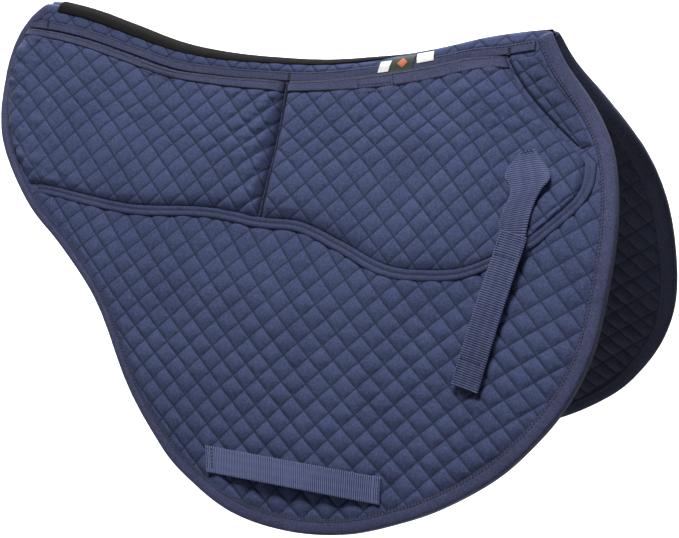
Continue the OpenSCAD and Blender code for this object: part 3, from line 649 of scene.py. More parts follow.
def panel(side, tag):
    nu, nv = 364, 244
    u, v, xs = grid(nu, nv, pad_xs)
    x, s = xs[..., 0], xs[..., 1]
    e = edge_distance(xs)
    rim = smooth(9, 20, e)
    ua, ub = phases("low", x, s, 2.6)
    pa_, pb_ = phases("plain", x, s)
    w = smooth(150, 190, s)
    top = s < 150
    ua, ub = np.where(top, pa_, ua), np.where(top, pb_, ub)
    amp = (2.6 + 0.9 * smooth(200, 420, s)) * low_quilt_height(x, s) * rim
    strip = smooth(7, 11, s) * smooth(mouth(x) - 10, mouth(x) - 13, s) * smooth(232, 215, x)
    n = quilt(x, s, ua, ub, 1.0, 0, 0.56, 0.60) * amp
    under = smooth(55, 62, x) * smooth(125, 118, x) * (side < 0)
    n += strip * (0.65 + 0.8 * puff(ua, ub) + 0.2 * noise(x, s * 2, 14, 3)) * (1 - 0.7 * under) + 1.9 * smooth(50, 100, x) * smooth(12.5, 6, s) * smooth(236, 226, x)
    n += 1.1 * noise(x, s, 90, 5) * rim * smooth(180, 240, s) + 0.5 * noise(x, s, 38, 6) * rim * smooth(180, 240, s)
    n -= 0.15
    A = pt(x, s, n)
    B = pt(x, s, -thick(s) + 1.6)
    o = closed(f"{tag}_quilted_panel", A, B, [COTTON, WAD], side, {"Cloth": xs, "Quilt": np.stack([ua, ub], -1)}, back_mat=1)
    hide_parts(f"{tag}_shell", f"{tag}_batting")
    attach(o, f"{tag}_panel")
    # lining, against the back
    nu, nv = 300, 204
    u, v, xs = grid(nu, nv, pad_xs)
    x, s = xs[..., 0], xs[..., 1]
    e = edge_distance(xs)
    rim = smooth(8, 18, e)
    ua, ub = phases("low", x, s)
    below = smooth(165, 195, s + 0.12 * np.abs(x - 60))
    q = quilt(x, s, ua, ub, 1.0, 2, 0.5, 0.5) * 1.7 * below * rim
    arc = np.abs(np.hypot(x - 180, s - 110) - 128)
    q -= 1.2 * np.exp(-(arc / 2.5) ** 2) * smooth(150, 260, x)
    q += (1 - below) * rim * (0.9 * noise(x * 1.3 + s * 0.7, s * 0.6 - x * 0.2, 26, 4) + 0.6 * noise(x + s, s - x, 11, 1))
    n = -thick(s) + 0.3 - q * smooth(10, 30, s)
    A = pt(x, s, -thick(s) + 1.4)
    B = pt(x, s, n)
    o = lining_mesh(f"{tag}_quilted_lining", A, B, side, xs, ua, ub)
    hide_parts(f"{tag}_lining")
    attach(o, f"{tag}_panel")


def lining_mesh(name, A, B, side, xs, ua, ub):
    """The lining's dense face looks inwards, so the dense grid is built on B and flipped."""
    o = closed(name, B[:, ::-1], A[:, ::-1], [LINING], side, {"Cloth": xs[:, ::-1], "Quilt": np.stack([ua, ub], -1)[:, ::-1]})
    return o


def binding(side, tag):
    n = len(EDGE)
    q = np.arange(n)
    frac = q / (n - 1)
    w = np.where(frac < 0.55, 13.0, 13.0 - 3.0 * np.clip((frac - 0.55) / 0.1, 0, 1))
    e, d = EDGE, EDGE_IN
    prof = []
    # (inward distance as a share of w or in mm, height kind): the outer flange, round the edge, the inner flange, and back inside
    outer = [("w", 1.0, 0.25), ("w", 0.985, 0.9), ("w", 0.93, 1.35), ("w", 0.8, 1.15), ("w", 0.62, 1.75), ("w", 0.42, 2.0), ("w", 0.22, 1.9), ("m", 1.0, 1.5), ("m", -0.4, 0.9), ("m", -1.1, -0.4)]
    rings = []
    s_e = e[:, 1]
    te = thick(s_e)
    length = np.concatenate([[0], np.cumsum(np.linalg.norm(np.diff(e, axis=0), axis=1))])
    wob = 0.22 * noise(length, 0 * length, 9, 2) + 0.12 * noise(length, 0 * length, 4, 3)
    P, UV = [], []
    def add(dist, nn, k):
        xs = e + d * dist[:, None]
        P.append(pt(xs[:, 0], xs[:, 1], nn))
        UV.append(np.stack([length, np.full(n, k)], -1))
    for kind, a, h in outer:
        dist = w * a if kind == "w" else np.full(n, a)
        add(dist, h + (wob * (1.2 if 0.1 < h else 0.5)), dist.mean())
    add(np.full(n, -1.35), -te / 2, -5.0)
    for kind, a, h in reversed(outer):
        dist = w * a if kind == "w" else np.full(n, a)
        add(dist, -te - h + wob * 0.5, -10 - dist.mean())
    for a in (0.9, 0.5):
        add(w * a, -te - 0.05, -20.0)
    add(np.full(n, 0.1), -te * 0.98, -22.0)
    add(np.full(n, 0.1), 0 * te - 0.02, -24.0)
    for a in (0.5, 0.9):
        add(w * a, 0 * te + 0.05, -26.0)
    R = np.stack(P, 1)
    U = np.stack(UV, 1)
    o = sweep(f"{tag}_edge_binding", R, [BIND, PAINTED_SHADE_NAVY], side, {"Cloth": U})
    fix_normals(o)
    layer = o.data.uv_layers["Cloth"].data
    # the binding's inner faces take the painted shade
    for f in o.data.polygons:
        k = [layer[i].uv[1] for i in f.loop_indices]
        if max(k) < -3.0:
            f.material_index = 1
    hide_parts(f"{tag}_binding")
    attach(o, f"{tag}_panel")
    rows = []
    for off, hh in ((0.80, 1.3), (0.955, 1.28)):
        dist = w * off
        xs = e + d * dist[:, None]
        a = pt(xs[:, 0], xs[:, 1], hh + wob)
        b = pt(xs[:, 0], xs[:, 1], hh + 1 + wob)
        rows.append((a, b - a))
    xs = e + d * (w * 0.8)[:, None]
    a = pt(xs[:, 0], xs[:, 1], -te - 1.3)
    b = pt(xs[:, 0], xs[:, 1], -te - 2.3)
    rows.append((a, b - a))
    return rows


def pocket(side, tag, which):
    fn = rear_xs if which == "rear" else front_xs
    nu, nv = (236, 132) if which == "rear" else (224, 148)
    u, v, xs = grid(nu, nv, fn)
    x, s = xs[..., 0], xs[..., 1]
    W = np.linalg.norm(np.gradient(xs, axis=0), axis=-1).sum(0)[None, :]
    H = np.linalg.norm(np.gradient(xs, axis=1), axis=-1).sum(1)[:, None]
    dl, dr, db = u * W, (1 - u) * W, (1 - v) * H
    def dome(d, w):
        t = np.clip(d / w, 0, 1)
        return np.sqrt(1 - (1 - t) ** 2)
    if which == "rear":
        k = dome(dl, 26) * dome(dr, 20) * dome(db, 26)
    else:
        k = dome(dl, 16) * dome(dr, 15) * dome(db, 22)
    base = 0.45 + k * (stand_off(x, s) - 0.45)
    near = np.minimum(np.minimum(dl, dr), db)
    ua, ub = phases(which, x, s, base + 2.8)
    amp = 2.15 * smooth(0, 10, near) * smooth(10, 20, v * H + 2)
    if which == "rear":
        # the cloth is gathered into the divider seam
        g = np.exp(-dr / 30.0)
        pb = 0.55 + 0.25 * g
        n = quilt(x, s, ua, ub, 1.0, 5, 0.5 * (1 - 0.7 * g), 0.5) * amp * (1 + 1.2 * g)
        fold = np.abs(np.sin(np.pi * (ub + 0.08 * noise(x, s, 13, 8)))) ** 0.55
        gather = (5.2 * (fold - 0.75) + 1.1 * noise(x * 0.4 + s * 0.5, s * 1.3 - x * 0.3, 7, 3)) * g * smooth(0, 4, dr)
        g2 = np.exp(-dl / 34.0)
        crush = g2 * (2.5 * noise(x * 0.5, s, 8, 6) + 1.3 * noise(x, s, 4.5, 7)) * smooth(0, 3, dl)
    else:
        g = np.exp(-dr / 30.0) * smooth(0.62, 0.35, v)
        n = quilt(x, s, ua, ub, 1.0, 3, 0.48, 0.48) * amp
        gather = g * 1.9 * noise(x * 0.2, s - 0.25 * x, 7, 2) * smooth(0, 3, dr)
        g2 = np.exp(-dl / 12.0)
        crush = g2 * 0.8 * noise(x * 0.6, s, 8, 6) * smooth(0, 3, dl)
    n = n + gather + crush + 0.6 * noise(x, s, 60, 1) * k
    n = base + 1.15 + n - 0.35
    floor_ = base + 0.9
    n = np.maximum(n, floor_ - 0.2)
    seam = (dr if which == "rear" else np.minimum(dl, dr + 40 * smooth(0.62, 0.7, v)))
    n = base - 0.05 + (n - base + 0.05) * (0.12 + 0.88 * smooth(-0.5, 3.0, seam))
    A = pt(x, s, n)
    B = pt(x, s, base - 0.05)
    o = closed(f"{tag}_{which}_pocket_cloth", A, B, [COTTON, PAINTED_SHADE_NAVY], side, {"Cloth": xs, "Quilt": np.stack([ua, ub], -1)})
    # the pocket cloth's cut edges take the painted shade
    walls(o, (nu + 1) * (nv + 1))
    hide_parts(f"{tag}_{which}_pocket")
    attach(o, f"{tag}_panel")
    return (lambda uu, vv: pocket_base(which, uu, vv))


def pocket_base(which, u, v):
    """Stand-off of the pocket cloth at u, v; the same domes as the cloth's own."""
    fn = rear_xs if which == "rear" else front_xs
    xs = fn(u, v)
    W = 340.0 if which == "rear" else 250.0
    H = 165.0
    def dome(d, w):
        t = np.clip(d / w, 0, 1)
        return np.sqrt(1 - (1 - t) ** 2)
    k = dome(u * W, 26 if which == "rear" else 16) * dome((1 - u) * W, 20 if which == "rear" else 15) * dome((1 - v) * H, 26 if which == "rear" else 22)
    return xs, 0.45 + k * (stand_off(xs[..., 0], xs[..., 1]) - 0.45)


def band(name, C, width, n_in, n_out, mat, side, across=7, round_=0.5, edge=None, uvscale=True):
    """Flat tape along C (x, s points), with rounded edges. n_in and n_out are heights per point and place across."""
    T = np.gradient(C, axis=0)
    T /= np.linalg.norm(T, axis=1)[:, None]
    D = np.stack([T[:, 1], -T[:, 0]], -1)
    e = np.linspace(-1, 1, across)
    e = np.sign(e) * np.abs(e) ** 0.7
    xs = C[:, None] + D[:, None] * (e * width / 2)[None, :, None]
    soft = np.sqrt(np.clip(1 - np.abs(e) ** 8, 0, 1))[None]
    no, ni = n_out(xs, e), n_in(xs, e)
    mid = (no + ni) / 2
    A = pt(xs[..., 0], xs[..., 1], mid + (no - mid) * (round_ + (1 - round_) * soft))
    B = pt(xs[..., 0], xs[..., 1], mid + (ni - mid) * (round_ + (1 - round_) * soft))
    L = np.concatenate([[0], np.cumsum(np.linalg.norm(np.diff(C, axis=0), axis=1))])
    uv = np.stack([np.broadcast_to(L[:, None], xs.shape[:2]), np.broadcast_to((e * width / 2)[None], xs.shape[:2])], -1)
    o = closed(name, A, B, [mat], side, {"Cloth": uv}, step=1)
    return fix_normals(o)


def resample(C, step):
    C = np.asarray(C, float)
    d = np.concatenate([[0], np.cumsum(np.linalg.norm(np.diff(C, axis=0), axis=1))])
    a = np.linspace(0, d[-1], max(2, int(d[-1] / step) + 1))
    return np.stack([np.interp(a, d, C[:, k]) for k in range(C.shape[1])], -1)


def rowline(C, n):
    a, b = pt(C[:, 0], C[:, 1], n), pt(C[:, 0], C[:, 1], n + 1)
    return a, b - a


def side_trim(side, tag, rows):
    # upper mouth tape
    x = np.linspace(-376, 224, 300)
    C = np.stack([x, mouth(x) - 2 - 4.25], -1)
    o = band(f"{tag}_upper_mouth_tape", C, 9.0, lambda xs, e: 0.3 + 0 * xs[..., 0], lambda xs, e: (1.45 + 0.2 * noise(xs[..., 0], xs[..., 1], 8, 1) + 0.2 * (1 - np.abs(e)[None])) * (1 - 0.42 * (side < 0) * smooth(55, 62, xs[..., 0]) * smooth(124, 117, xs[..., 0])), TAPE, side, 9)
    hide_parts(f"{tag}_upper_tape"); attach(o, f"{tag}_panel")
    for off in (-3.4,):
        Cs = C + np.array([0, off])
        rows.append(rowline2(Cs, 1.6 - 0.95 * (side < 0) * smooth(54, 61, Cs[:, 0]) * smooth(125, 118, Cs[:, 0])))
    # mouth tapes on the pocket cloth
    for which in ("rear", "front"):
        nu, nv = 200, 10
        u, v = np.meshgrid(np.linspace(0, 1, nu + 1), np.linspace(-0.004, 12 / 165, nv + 1), indexing="ij")
        xs, b = pocket_base(which, u, np.clip(v, 0, 1))
        xs = xs + np.stack([0 * v, np.minimum(v, 0) * 165], -1)
        fr = np.linspace(0, 1, nv + 1)[None]
        prof = 0.55 + 0.45 * np.sqrt(np.clip(1 - np.abs(2 * fr - 1) ** 8, 0, 1))
        ripple = 0.22 * noise(xs[..., 0], xs[..., 1], 9, 4) + 0.5 * np.sin(xs[..., 0] / 23.0) * smooth(0.5, 0, fr) * 0.5
        A = pt(xs[..., 0], xs[..., 1], b + 1.35 + 1.25 * prof + ripple)
        B = pt(xs[..., 0], xs[..., 1], b + 1.25 + 0 * fr)
        L = np.linspace(0, 340 if which == "rear" else 235, nu + 1)[:, None] + 0 * fr
        uv = np.stack([L, xs[..., 1]], -1)
        o = closed(f"{tag}_{which}_mouth_tape_sewn", A, B, [TAPE, PAINTED_SHADE_NAVY], side, {"Cloth": uv}, step=1)
        fix_normals(o)
        # the tape's cut edges and its upper rim take the painted shade
        walls(o, (nu + 1) * (nv + 1), nv + 1)
        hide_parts(f"{tag}_{which}_mouth_tape"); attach(o, f"{tag}_panel")
        for vv in (10.8 / 165, 1.6 / 165):
            uu = np.linspace(0.01, 0.99, 240)
            xs1, b1 = pocket_base(which, uu, np.full_like(uu, vv))
            rows.append(rowline2(xs1, b1 + 2.78))
    # hem tape: a folded tape with two ridges below the pockets
    L1 = cr(REAR_HEM, np.linspace(0, 1, 80)[:-1])
    L2 = cr(FRONT_HEM, np.linspace(0, 1, 110)[1:])
    L3 = cr(FRONT_SIDE, 1 - np.linspace(0, 0.36, 40)[1:])
    C = np.concatenate([L1[3:], [[-39, 172.8]], L2, L3])
    C = resample(C, 1.0)
    kk = np.hanning(19); kk /= kk.sum()
    Cp = np.concatenate([np.repeat(C[:1], 9, 0), C, np.repeat(C[-1:], 9, 0)])
    C = resample(np.stack([np.convolve(Cp[:, k], kk, mode="valid") for k in (0, 1)], -1), 2.4)
    T = np.gradient(C, axis=0); T /= np.linalg.norm(T, axis=1)[:, None]
    D = np.stack([-T[:, 1], T[:, 0]], -1)      # away from the pocket
    Cc = C + D * 4.6
    def hn(xs, e):
        ee = e[None] + 0 * xs[..., 0]
        # e = -1 is the outer (lower) side of the tape; two rounded ridges with a sewn valley between
        ridge_ = 1.2 * np.sqrt(np.clip(1 - ((ee - 0.52) / 0.46) ** 2, 0, 1)) + 1.55 * np.sqrt(np.clip(1 - ((ee + 0.5) / 0.48) ** 2, 0, 1))
        i = np.arange(len(xs))[:, None] * 2.4
        end = smooth(0, 14, i) * smooth(0, 8, i[::-1])
        return 1.1 + 0.5 * end + ridge_ * (0.35 + 0.85 * end) + 0.18 * noise(xs[..., 0], xs[..., 1], 6, 5)
    o = band(f"{tag}_pocket_hem_tape", Cc, 11.0, lambda xs, e: 0.35 + 0 * xs[..., 0], hn, HEM_TAPE, side, 25, 0.8)
    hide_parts(f"{tag}_hem_tape"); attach(o, f"{tag}_panel")
    rows.append(rowline2(C + D * 4.6, np.full(len(C), 1.75)))
    rows.append(rowline2(C - D * 2.2, np.full(len(C), 3.2) + 0.0))
    # divider seam
    s = np.linspace(30, 172, 90)
    C = np.stack([-39 + 0 * s, s], -1)
    # the divider tape is painted near black, as the shade in its valley
    o = band(f"{tag}_divider_seam", C, 3.4, lambda xs, e: 0.3 + 0 * xs[..., 0], lambda xs, e: 0.75 + 0.2 * noise(xs[..., 0], xs[..., 1], 7, 5), SEAM, side, 5)
    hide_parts(f"{tag}_divider_tape"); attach(o, f"{tag}_panel")
    rows.append(rowline(C, 1.2))
    # wither panel
    WA = [[199, 31], [219, 60], [249, 91], [281, 117]]
    WB = [[230, 31], [241, 48], [263, 76], [290, 112.5]]
    nu, nv = 44, 90
    u, v = np.meshgrid(np.linspace(0, 1, nu + 1), np.linspace(0, 1, nv + 1), indexing="ij")
    xs = (1 - u)[..., None] * cr(WA, v) + u[..., None] * cr(WB, v)
    x, s = xs[..., 0], xs[..., 1]
    ua, ub = phases("front", x, s, 3.0)
    hh = np.sqrt(np.clip(1 - (2 * u - 1) ** 4, 0, 1)) * smooth(0, 0.05, v) * smooth(1, 0.93, v)
    hh = np.minimum(hh, smooth(1.0, 0.55, u) + 0.15)
    n = 0.6 + hh * (0.9 + quilt(x, s, ua, ub, 2.3, 4, 0.55, 0.55))
    n = np.where(u < 0.12, 0.6 + (n - 0.6) * smooth(0.0, 0.12, u), n)
    # the wither quilting takes the darker cotton as painted shade
    o = closed(f"{tag}_wither_quilting", pt(x, s, n), pt(x, s, 0 * x + 0.35), [COTTON_SHADE], side, {"Cloth": xs, "Quilt": np.stack([ua, ub], -1)})
    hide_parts(f"{tag}_wither_panel"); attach(o, f"{tag}_panel")
    C = resample(cr(WA, np.linspace(0.02, 0.94, 60)), 2.0)
    # a near-black strip along the wither seam as painted shade, where the pocket's bulge shades it
    o = band(f"{tag}_wither_seam_shade", C + np.array([1.2, -0.8]), 3.0, lambda xs, e: 0.3 + 0 * xs[..., 0], lambda xs, e: 1.25 + 0.2 * noise(xs[..., 0], xs[..., 1], 7, 5), SEAM, side, 5)
    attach(o, f"{tag}_panel")
    # touch-fastener tabs, and their box stitching on the tapes
    parts_h, parts_l = [], []
    for nm, key, lo, hi in (("hook_tabs_pair", "hook_tabs", None, None), ("loop_tabs_pair", "loop_tabs", None, None)):
        Vs, Fs, off, UVs = [], [], 0, []
        for x0, x1 in ((-209, -168), (48, 82)):
            nu, nv = 24, 10
            u, v = np.meshgrid(np.linspace(0, 1, nu + 1), np.linspace(0, 1, nv + 1), indexing="ij")
            x = x0 + (x1 - x0) * u
            if key == "hook_tabs":
                s = mouth(x) + 1 + 14 * v
                no, ni = 1.25 + 0.15 * noise(x, s, 1.5, 2), 0.35 + 0 * s
            else:
                s = mouth(x) + 1 + 10 * v
                no = slab_n(x, s) + 1.85 + 0 * s
                ni = slab_n(x, s) + 0.85 + 0.15 * noise(x, s, 1.5, 3)
            rim = 0.5 + 0.5 * np.sqrt(np.clip(1 - np.maximum(np.abs(2 * u - 1), np.abs(2 * v - 1)) ** 12, 0, 1))
            md = (no + ni) / 2
            A, B = pt(x, s, md + (no - md) * rim), pt(x, s, md + (ni - md) * rim)
            M = (nu + 1) * (nv + 1)
            Vs += [A.reshape(-1, 3), B.reshape(-1, 3)]
            Fs.append(quads(nu, nv, off))
            Fs.append(quads(nu, nv, off + M)[:, ::-1])
            I, J = np.arange(nu), np.arange(nv)
            a = lambda i, j: off + i * (nv + 1) + j
            b = lambda i, j: off + M + i * (nv + 1) + j
            Fs += [np.stack([a(I, 0), a(I + 1, 0), b(I + 1, 0), b(I, 0)], -1), np.stack([a(I + 1, nv), a(I, nv), b(I, nv), b(I + 1, nv)], -1),
                   np.stack([a(0, J + 1), a(0, J), b(0, J), b(0, J + 1)], -1), np.stack([a(nu, J), a(nu, J + 1), b(nu, J + 1), b(nu, J)], -1)]
            off += 2 * M
        o = build(f"{tag}_{nm}", np.concatenate(Vs), Fs, [HOOK], side)
        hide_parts(f"{tag}_{key}"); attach(o, f"{tag}_panel")
    for which, x0, x1 in (("rear", -211, -166), ("front", 46, 84)):
        # a stitched rectangle with inner lines, seen on the mouth tape and just below it
        for a0, a1, w0, w1 in ((x0, x1, 2, 2), (x0, x1, 15, 15), (x0, x0, 2, 15), (x1, x1, 2, 15), (x0, x1, 8.5, 8.5)):
            q = np.linspace(0, 1, 30)
            X = a0 + (a1 - a0) * q
            Wd = w0 + (w1 - w0) * q
            U = (X + 374) / 332 if which == "rear" else (X + 36) / 232
            xs1, b1 = pocket_base(which, U, Wd / 165)
            rows.append(rowline2(xs1, b1 + np.where(Wd < 12.5, 2.85, 2.6)))
    # bar tacks
    rws = []
    for cx, cs, base in ((-350, 31, 1.6), (-39, 23, 1.6), (199, 24, 1.6)):
        for k in range(7):
            q = np.linspace(-3.2, 3.2, 5)
            C = np.stack([cx + (k - 3) * 0.42 + 0 * q, cs + 1.4 * q], -1)
            rws.append(rowline(C, base + 0.1))
    o = stitches(f"{tag}_bar_tack_thread", rws, THREAD, side, pitch=2.1, length=2.6, radius=0.35)
    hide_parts(f"{tag}_bar_tacks"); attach(o, f"{tag}_panel")
    return rows


def rowline2(C, n):
    a, b = pt(C[:, 0], C[:, 1], n), pt(C[:, 0], C[:, 1], n + 1)
    return a, b - a


def web_strip(name, C, nfn, width, thickness, side, rib=2.1, mat=None, droop=0.0):
    """Webbing along C (x, s), its inner face at nfn(share) off the pad, with real ribs across."""
    C = resample(C, 0.42)
    m = len(C)
    L = np.concatenate([[0], np.cumsum(np.linalg.norm(np.diff(C, axis=0), axis=1))])
    T = np.gradient(C, axis=0)
    kk = np.hanning(41); kk /= kk.sum()
    Tp = np.concatenate([np.repeat(T[:1], 20, 0), T, np.repeat(T[-1:], 20, 0)])
    T = np.stack([np.convolve(Tp[:, k], kk, mode="valid") for k in (0, 1)], -1)
    T /= np.linalg.norm(T, axis=1)[:, None]
    D = np.stack([T[:, 1], -T[:, 0]], -1)
    e = np.array([-1, -0.965, -0.9, -0.7, -0.45, -0.2, 0, 0.2, 0.45, 0.7, 0.9, 0.965, 1.0])
    xs = C[:, None] + D[:, None] * (e * width / 2)[None, :, None]
    sh = (L / L[-1])[:, None]
    n0 = nfn(sh, xs)
    soft = np.sqrt(np.clip(1 - np.abs(e) ** 10, 0, 1))[None]
    ribs = 0.26 * np.cos(2 * np.pi * L / rib)[:, None] * soft
    wave = 0.12 * noise(L[:, None] + 0 * e, (e * 10)[None] + 0 * L[:, None], 14, 3)
    h = thickness / 2
    A = pt(xs[..., 0], xs[..., 1], n0 + h + (h * (0.35 + 0.65 * soft)) + ribs + wave)
    B = pt(xs[..., 0], xs[..., 1], n0 + h - (h * (0.35 + 0.65 * soft)) - ribs * 0.6 + wave)
    uv = np.stack([L[:, None] + 0 * e, (e * width / 2)[None] + 0 * L[:, None]], -1)
    o = closed(name, A, B, [mat or WEB], side, {"Cloth": uv}, step=1)
    return fix_normals(o)


BILLET = [[236, 152], [238, 185], [236, 215], [231, 245], [226, 285], [219, 338]]
BILLET_N = np.array([[0, 7.4], [0.2, 7], [0.4, 5.6], [0.75, 4], [1, 3]])


def web_loft(name, rows_, nfn, thickness, side, rib=2.1, mat=None, depth=0.34):
    """Webbing between two edges. rows_: (left x, left s, right x, right s) along it; its ribs run from edge to edge."""
    P = cr(np.array(rows_, float), np.linspace(0, 1, 1600))
    mid = np.stack([(P[:, 0] + P[:, 2]) / 2, (P[:, 1] + P[:, 3]) / 2], -1)
    d_ = np.concatenate([[0], np.cumsum(np.linalg.norm(np.diff(mid, axis=0), axis=1))])
    a_ = np.linspace(0, d_[-1], int(d_[-1] / 0.42) + 1)
    P = np.stack([np.interp(a_, d_, P[:, k]) for k in range(4)], -1)
    e = np.array([-1, -0.965, -0.9, -0.7, -0.45, -0.2, 0, 0.2, 0.45, 0.7, 0.9, 0.965, 1.0])
    q = ((e + 1) / 2)[None, :, None]
    xs = P[:, None, :2] * (1 - q) + P[:, None, 2:] * q
    sh = (a_ / a_[-1])[:, None]
    n0 = nfn(sh, e[None] + 0 * sh, xs)
    soft = np.sqrt(np.clip(1 - np.abs(e) ** 10, 0, 1))[None]
    h = thickness / 2
    ribs = depth * np.cos(2 * np.pi * a_ / rib)[:, None] * soft
    A = pt(xs[..., 0], xs[..., 1], n0 + h + h * (0.35 + 0.65 * soft) + ribs)
    B = pt(xs[..., 0], xs[..., 1], n0 + h - h * (0.35 + 0.65 * soft) - ribs * 0.6)
    uv = np.stack([a_[:, None] + 0 * e, (e * 12.25)[None] + 0 * a_[:, None]], -1)
    return fix_normals(closed(name, A, B, [mat or WEB], side, {"Cloth": uv}, step=1))


def straps(side, tag, rows):
    # the billet strap: sewn down on a slant at its top, turning as it falls free
    TAIL = np.array([[228.1, 201.8, 254.4, 208.4], [224.3, 225.1, 250.6, 231.9], [220.4, 248.1, 246.8, 255.2], [216.6, 271.0, 243.0, 278.2],
                     [212.9, 293.9, 239.4, 301.4], [209.4, 316.8, 236.0, 324.5], [206.1, 339.7, 232.8, 347.5]])
    E_ = [[231.0, 128.0, 243.6, 125.5], [225.3, 135.5, 249.4, 131.6], [220.9, 143.5, 255.6, 138.7], [220.1, 151.4, 261.8, 146.0],
          [226.0, 159.0, 263.9, 154.2], [229.0, 167.7, 258.7, 162.5], [227.0, 178.2, 254.5, 171.9], [224.7, 189.1, 252.2, 182.9], [224.6, 199.0, 251.4, 195.6]]
    for q in np.linspace(0.08, 0.97, 9):
        a_, b_, c_, d_ = cr(TAIL, np.array([q]))[0]
        E_.append([a_ + 1.6, b_ + 0.4, c_ - 1.6, d_ - 0.4])
    def nfn(sh, e, xs):
        x, s = xs[..., 0], xs[..., 1]
        hang = lk(np.clip((s - 152) / 186, 0, 1), BILLET_N) + 1.0
        sewn = stand_off(x, s) + 3.1
        w = smooth(140, 170, s)
        curl = 3.4 * np.exp(-((s - 157) / 13) ** 2) * smooth(-0.6, 1.0, e) + 1.2 * np.exp(-((s - 180) / 16) ** 2) * smooth(0.2, -1.0, e)
        return sewn * (1 - w) + hang * w + curl
    o = web_loft(f"{tag}_billet_webbing", E_, nfn, 1.7, side)
    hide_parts(f"{tag}_billet_anchor", f"{tag}_billet_strap")
    p0, p1 = pt(236, 140, 8.5) / 1000, pt(237, 166, 8) / 1000
    if side > 0:
        p0, p1 = p0 * [1, -1, 1], p1 * [1, -1, 1]
    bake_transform(o)
    # touch-fastener patch between the layers
    def inset(rows_, w_):
        rows_ = np.asarray(rows_, float)
        u_ = rows_[:, 2:] - rows_[:, :2]
        u_ /= np.linalg.norm(u_, axis=1)[:, None]
        return np.concatenate([rows_[:, :2] + u_ * w_, rows_[:, 2:] - u_ * w_], 1)
    hang_ = lambda s: lk(np.clip((s - 152) / 186, 0, 1), BILLET_N)
    o = web_loft(f"{tag}_billet_touch_patch", inset(cr(TAIL, np.linspace(0.08, 0.86, 10)), 3.5), lambda sh, e, xs: hang_(xs[..., 1]) + 2.85, 0.5, side, mat=HOOK, depth=0.08)
    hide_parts(f"{tag}_billet_loop_patch"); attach(o, f"{tag}_billet")
    # folded tail on top, a little wider
    o = web_loft(f"{tag}_billet_tail_webbing", TAIL, lambda sh, e, xs: hang_(xs[..., 1]) + 3.5 + 0.5 * np.exp(-sh * 30) + 0.4 * np.exp(-(1 - sh) * 40), 2.1, side)
    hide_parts(f"{tag}_billet_tail")
    f0, f1 = pt(219.6, 342.5, 6.0) / 1000, pt(221.6, 329.5, 6.2) / 1000
    if side > 0:
        f0, f1 = f0 * [1, -1, 1], f1 * [1, -1, 1]
    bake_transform(o)
    trows = []
    def line(t0, t1, e0, e1, n_=30):
        q = np.linspace(0, 1, n_)
        P = cr(TAIL, t0 + (t1 - t0) * q)
        ee = ((e0 + (e1 - e0) * q) + 1)[:, None] / 2
        C = P[:, :2] * (1 - ee) + P[:, 2:] * ee
        return rowline2(C, hang_(C[:, 1]) + 5.85)
    for t in (0.018, 0.13, 0.15, 0.80, 0.825, 0.975):
        trows.append(line(t, t, -0.86, 0.86))
    for ee in (-0.86, 0.86):
        trows.append(line(0.02, 0.15, ee, ee))
        trows.append(line(0.80, 0.975, ee, ee))
    o = stitches(f"{tag}_billet_tail_thread", trows, THREAD, side, 2.6, 1.9, 0.3)
    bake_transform(o)
    # box stitch where the strap is sewn to the pocket
    for dd in (0.02, 0.10, 0.19):
        p = cr(np.array(E_, float), np.array([dd * 2 / (len(E_) - 1)]))[0]
        q = np.linspace(0.08, 0.92, 20)[:, None]
        Cc = p[None, :2] * (1 - q) + p[None, 2:] * q
        rows.append(rowline2(Cc, stand_off(Cc[:, 0], Cc[:, 1]) + 3.1 + 1.75))
    # girth strap
    G = np.array([[-46, 413], [-10, 414.5], [40, 418.5], [100, 427], [151, 434.5]])
    BOW = np.array([[0, 0.6], [0.05, 0.6], [0.13, 3.4], [0.22, 7.2], [0.35, 9.2], [0.5, 9.6], [0.65, 9.2], [0.78, 7.2], [0.87, 3.4], [0.95, 0.6], [1, 0.6]])
    tt = np.linspace(0, 1, 201)
    bw = lk(tt, BOW)
    k2 = np.hanning(15); k2 /= k2.sum()
    bw = np.convolve(np.pad(bw, 7, mode="edge"), k2, mode="valid")
    GR = np.array([[-43.2, 401.9, -35.7, 426.4], [-15.3, 401.3, -9.0, 425.9], [12.8, 402.0, 18.6, 426.7], [38.4, 403.9, 43.8, 428.6], [62.8, 406.4, 67.8, 431.2],
                   [86.5, 409.6, 91.0, 434.4], [109.0, 413.3, 113.0, 438.1], [129.4, 416.9, 133.0, 441.8], [151.2, 421.4, 154.6, 446.2]])
    o = web_loft(f"{tag}_girth_webbing", GR, lambda sh, e, xs: np.interp(sh, tt, bw) + 1.6 + 0 * xs[..., 0], 1.8, side)
    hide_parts(f"{tag}_girth_strap"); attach(o, f"{tag}_panel")
    # folded ends, box-stitched
    grows = []
    for nm, a, b in (("a", 0.0, 0.05), ("b", 0.95, 1.0)):
        o = web_loft(f"{tag}_girth_end_fold_{nm}", cr(GR, np.linspace(a, b, 5)), lambda sh, e, xs: 3.6 + 0 * xs[..., 0], 1.5, side)
        if nm == "a":
            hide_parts(f"{tag}_girth_ends")
        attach(o, f"{tag}_panel")
        for f in (0.2, 0.8):
            p = cr(GR, np.array([a + (b - a) * f]))[0]
            q = np.linspace(0.05, 0.95, 22)[:, None]
            grows.append(rowline2(p[None, :2] * (1 - q) + p[None, 2:] * q, np.full(22, 5.15)))
    rows += grows
    return rows


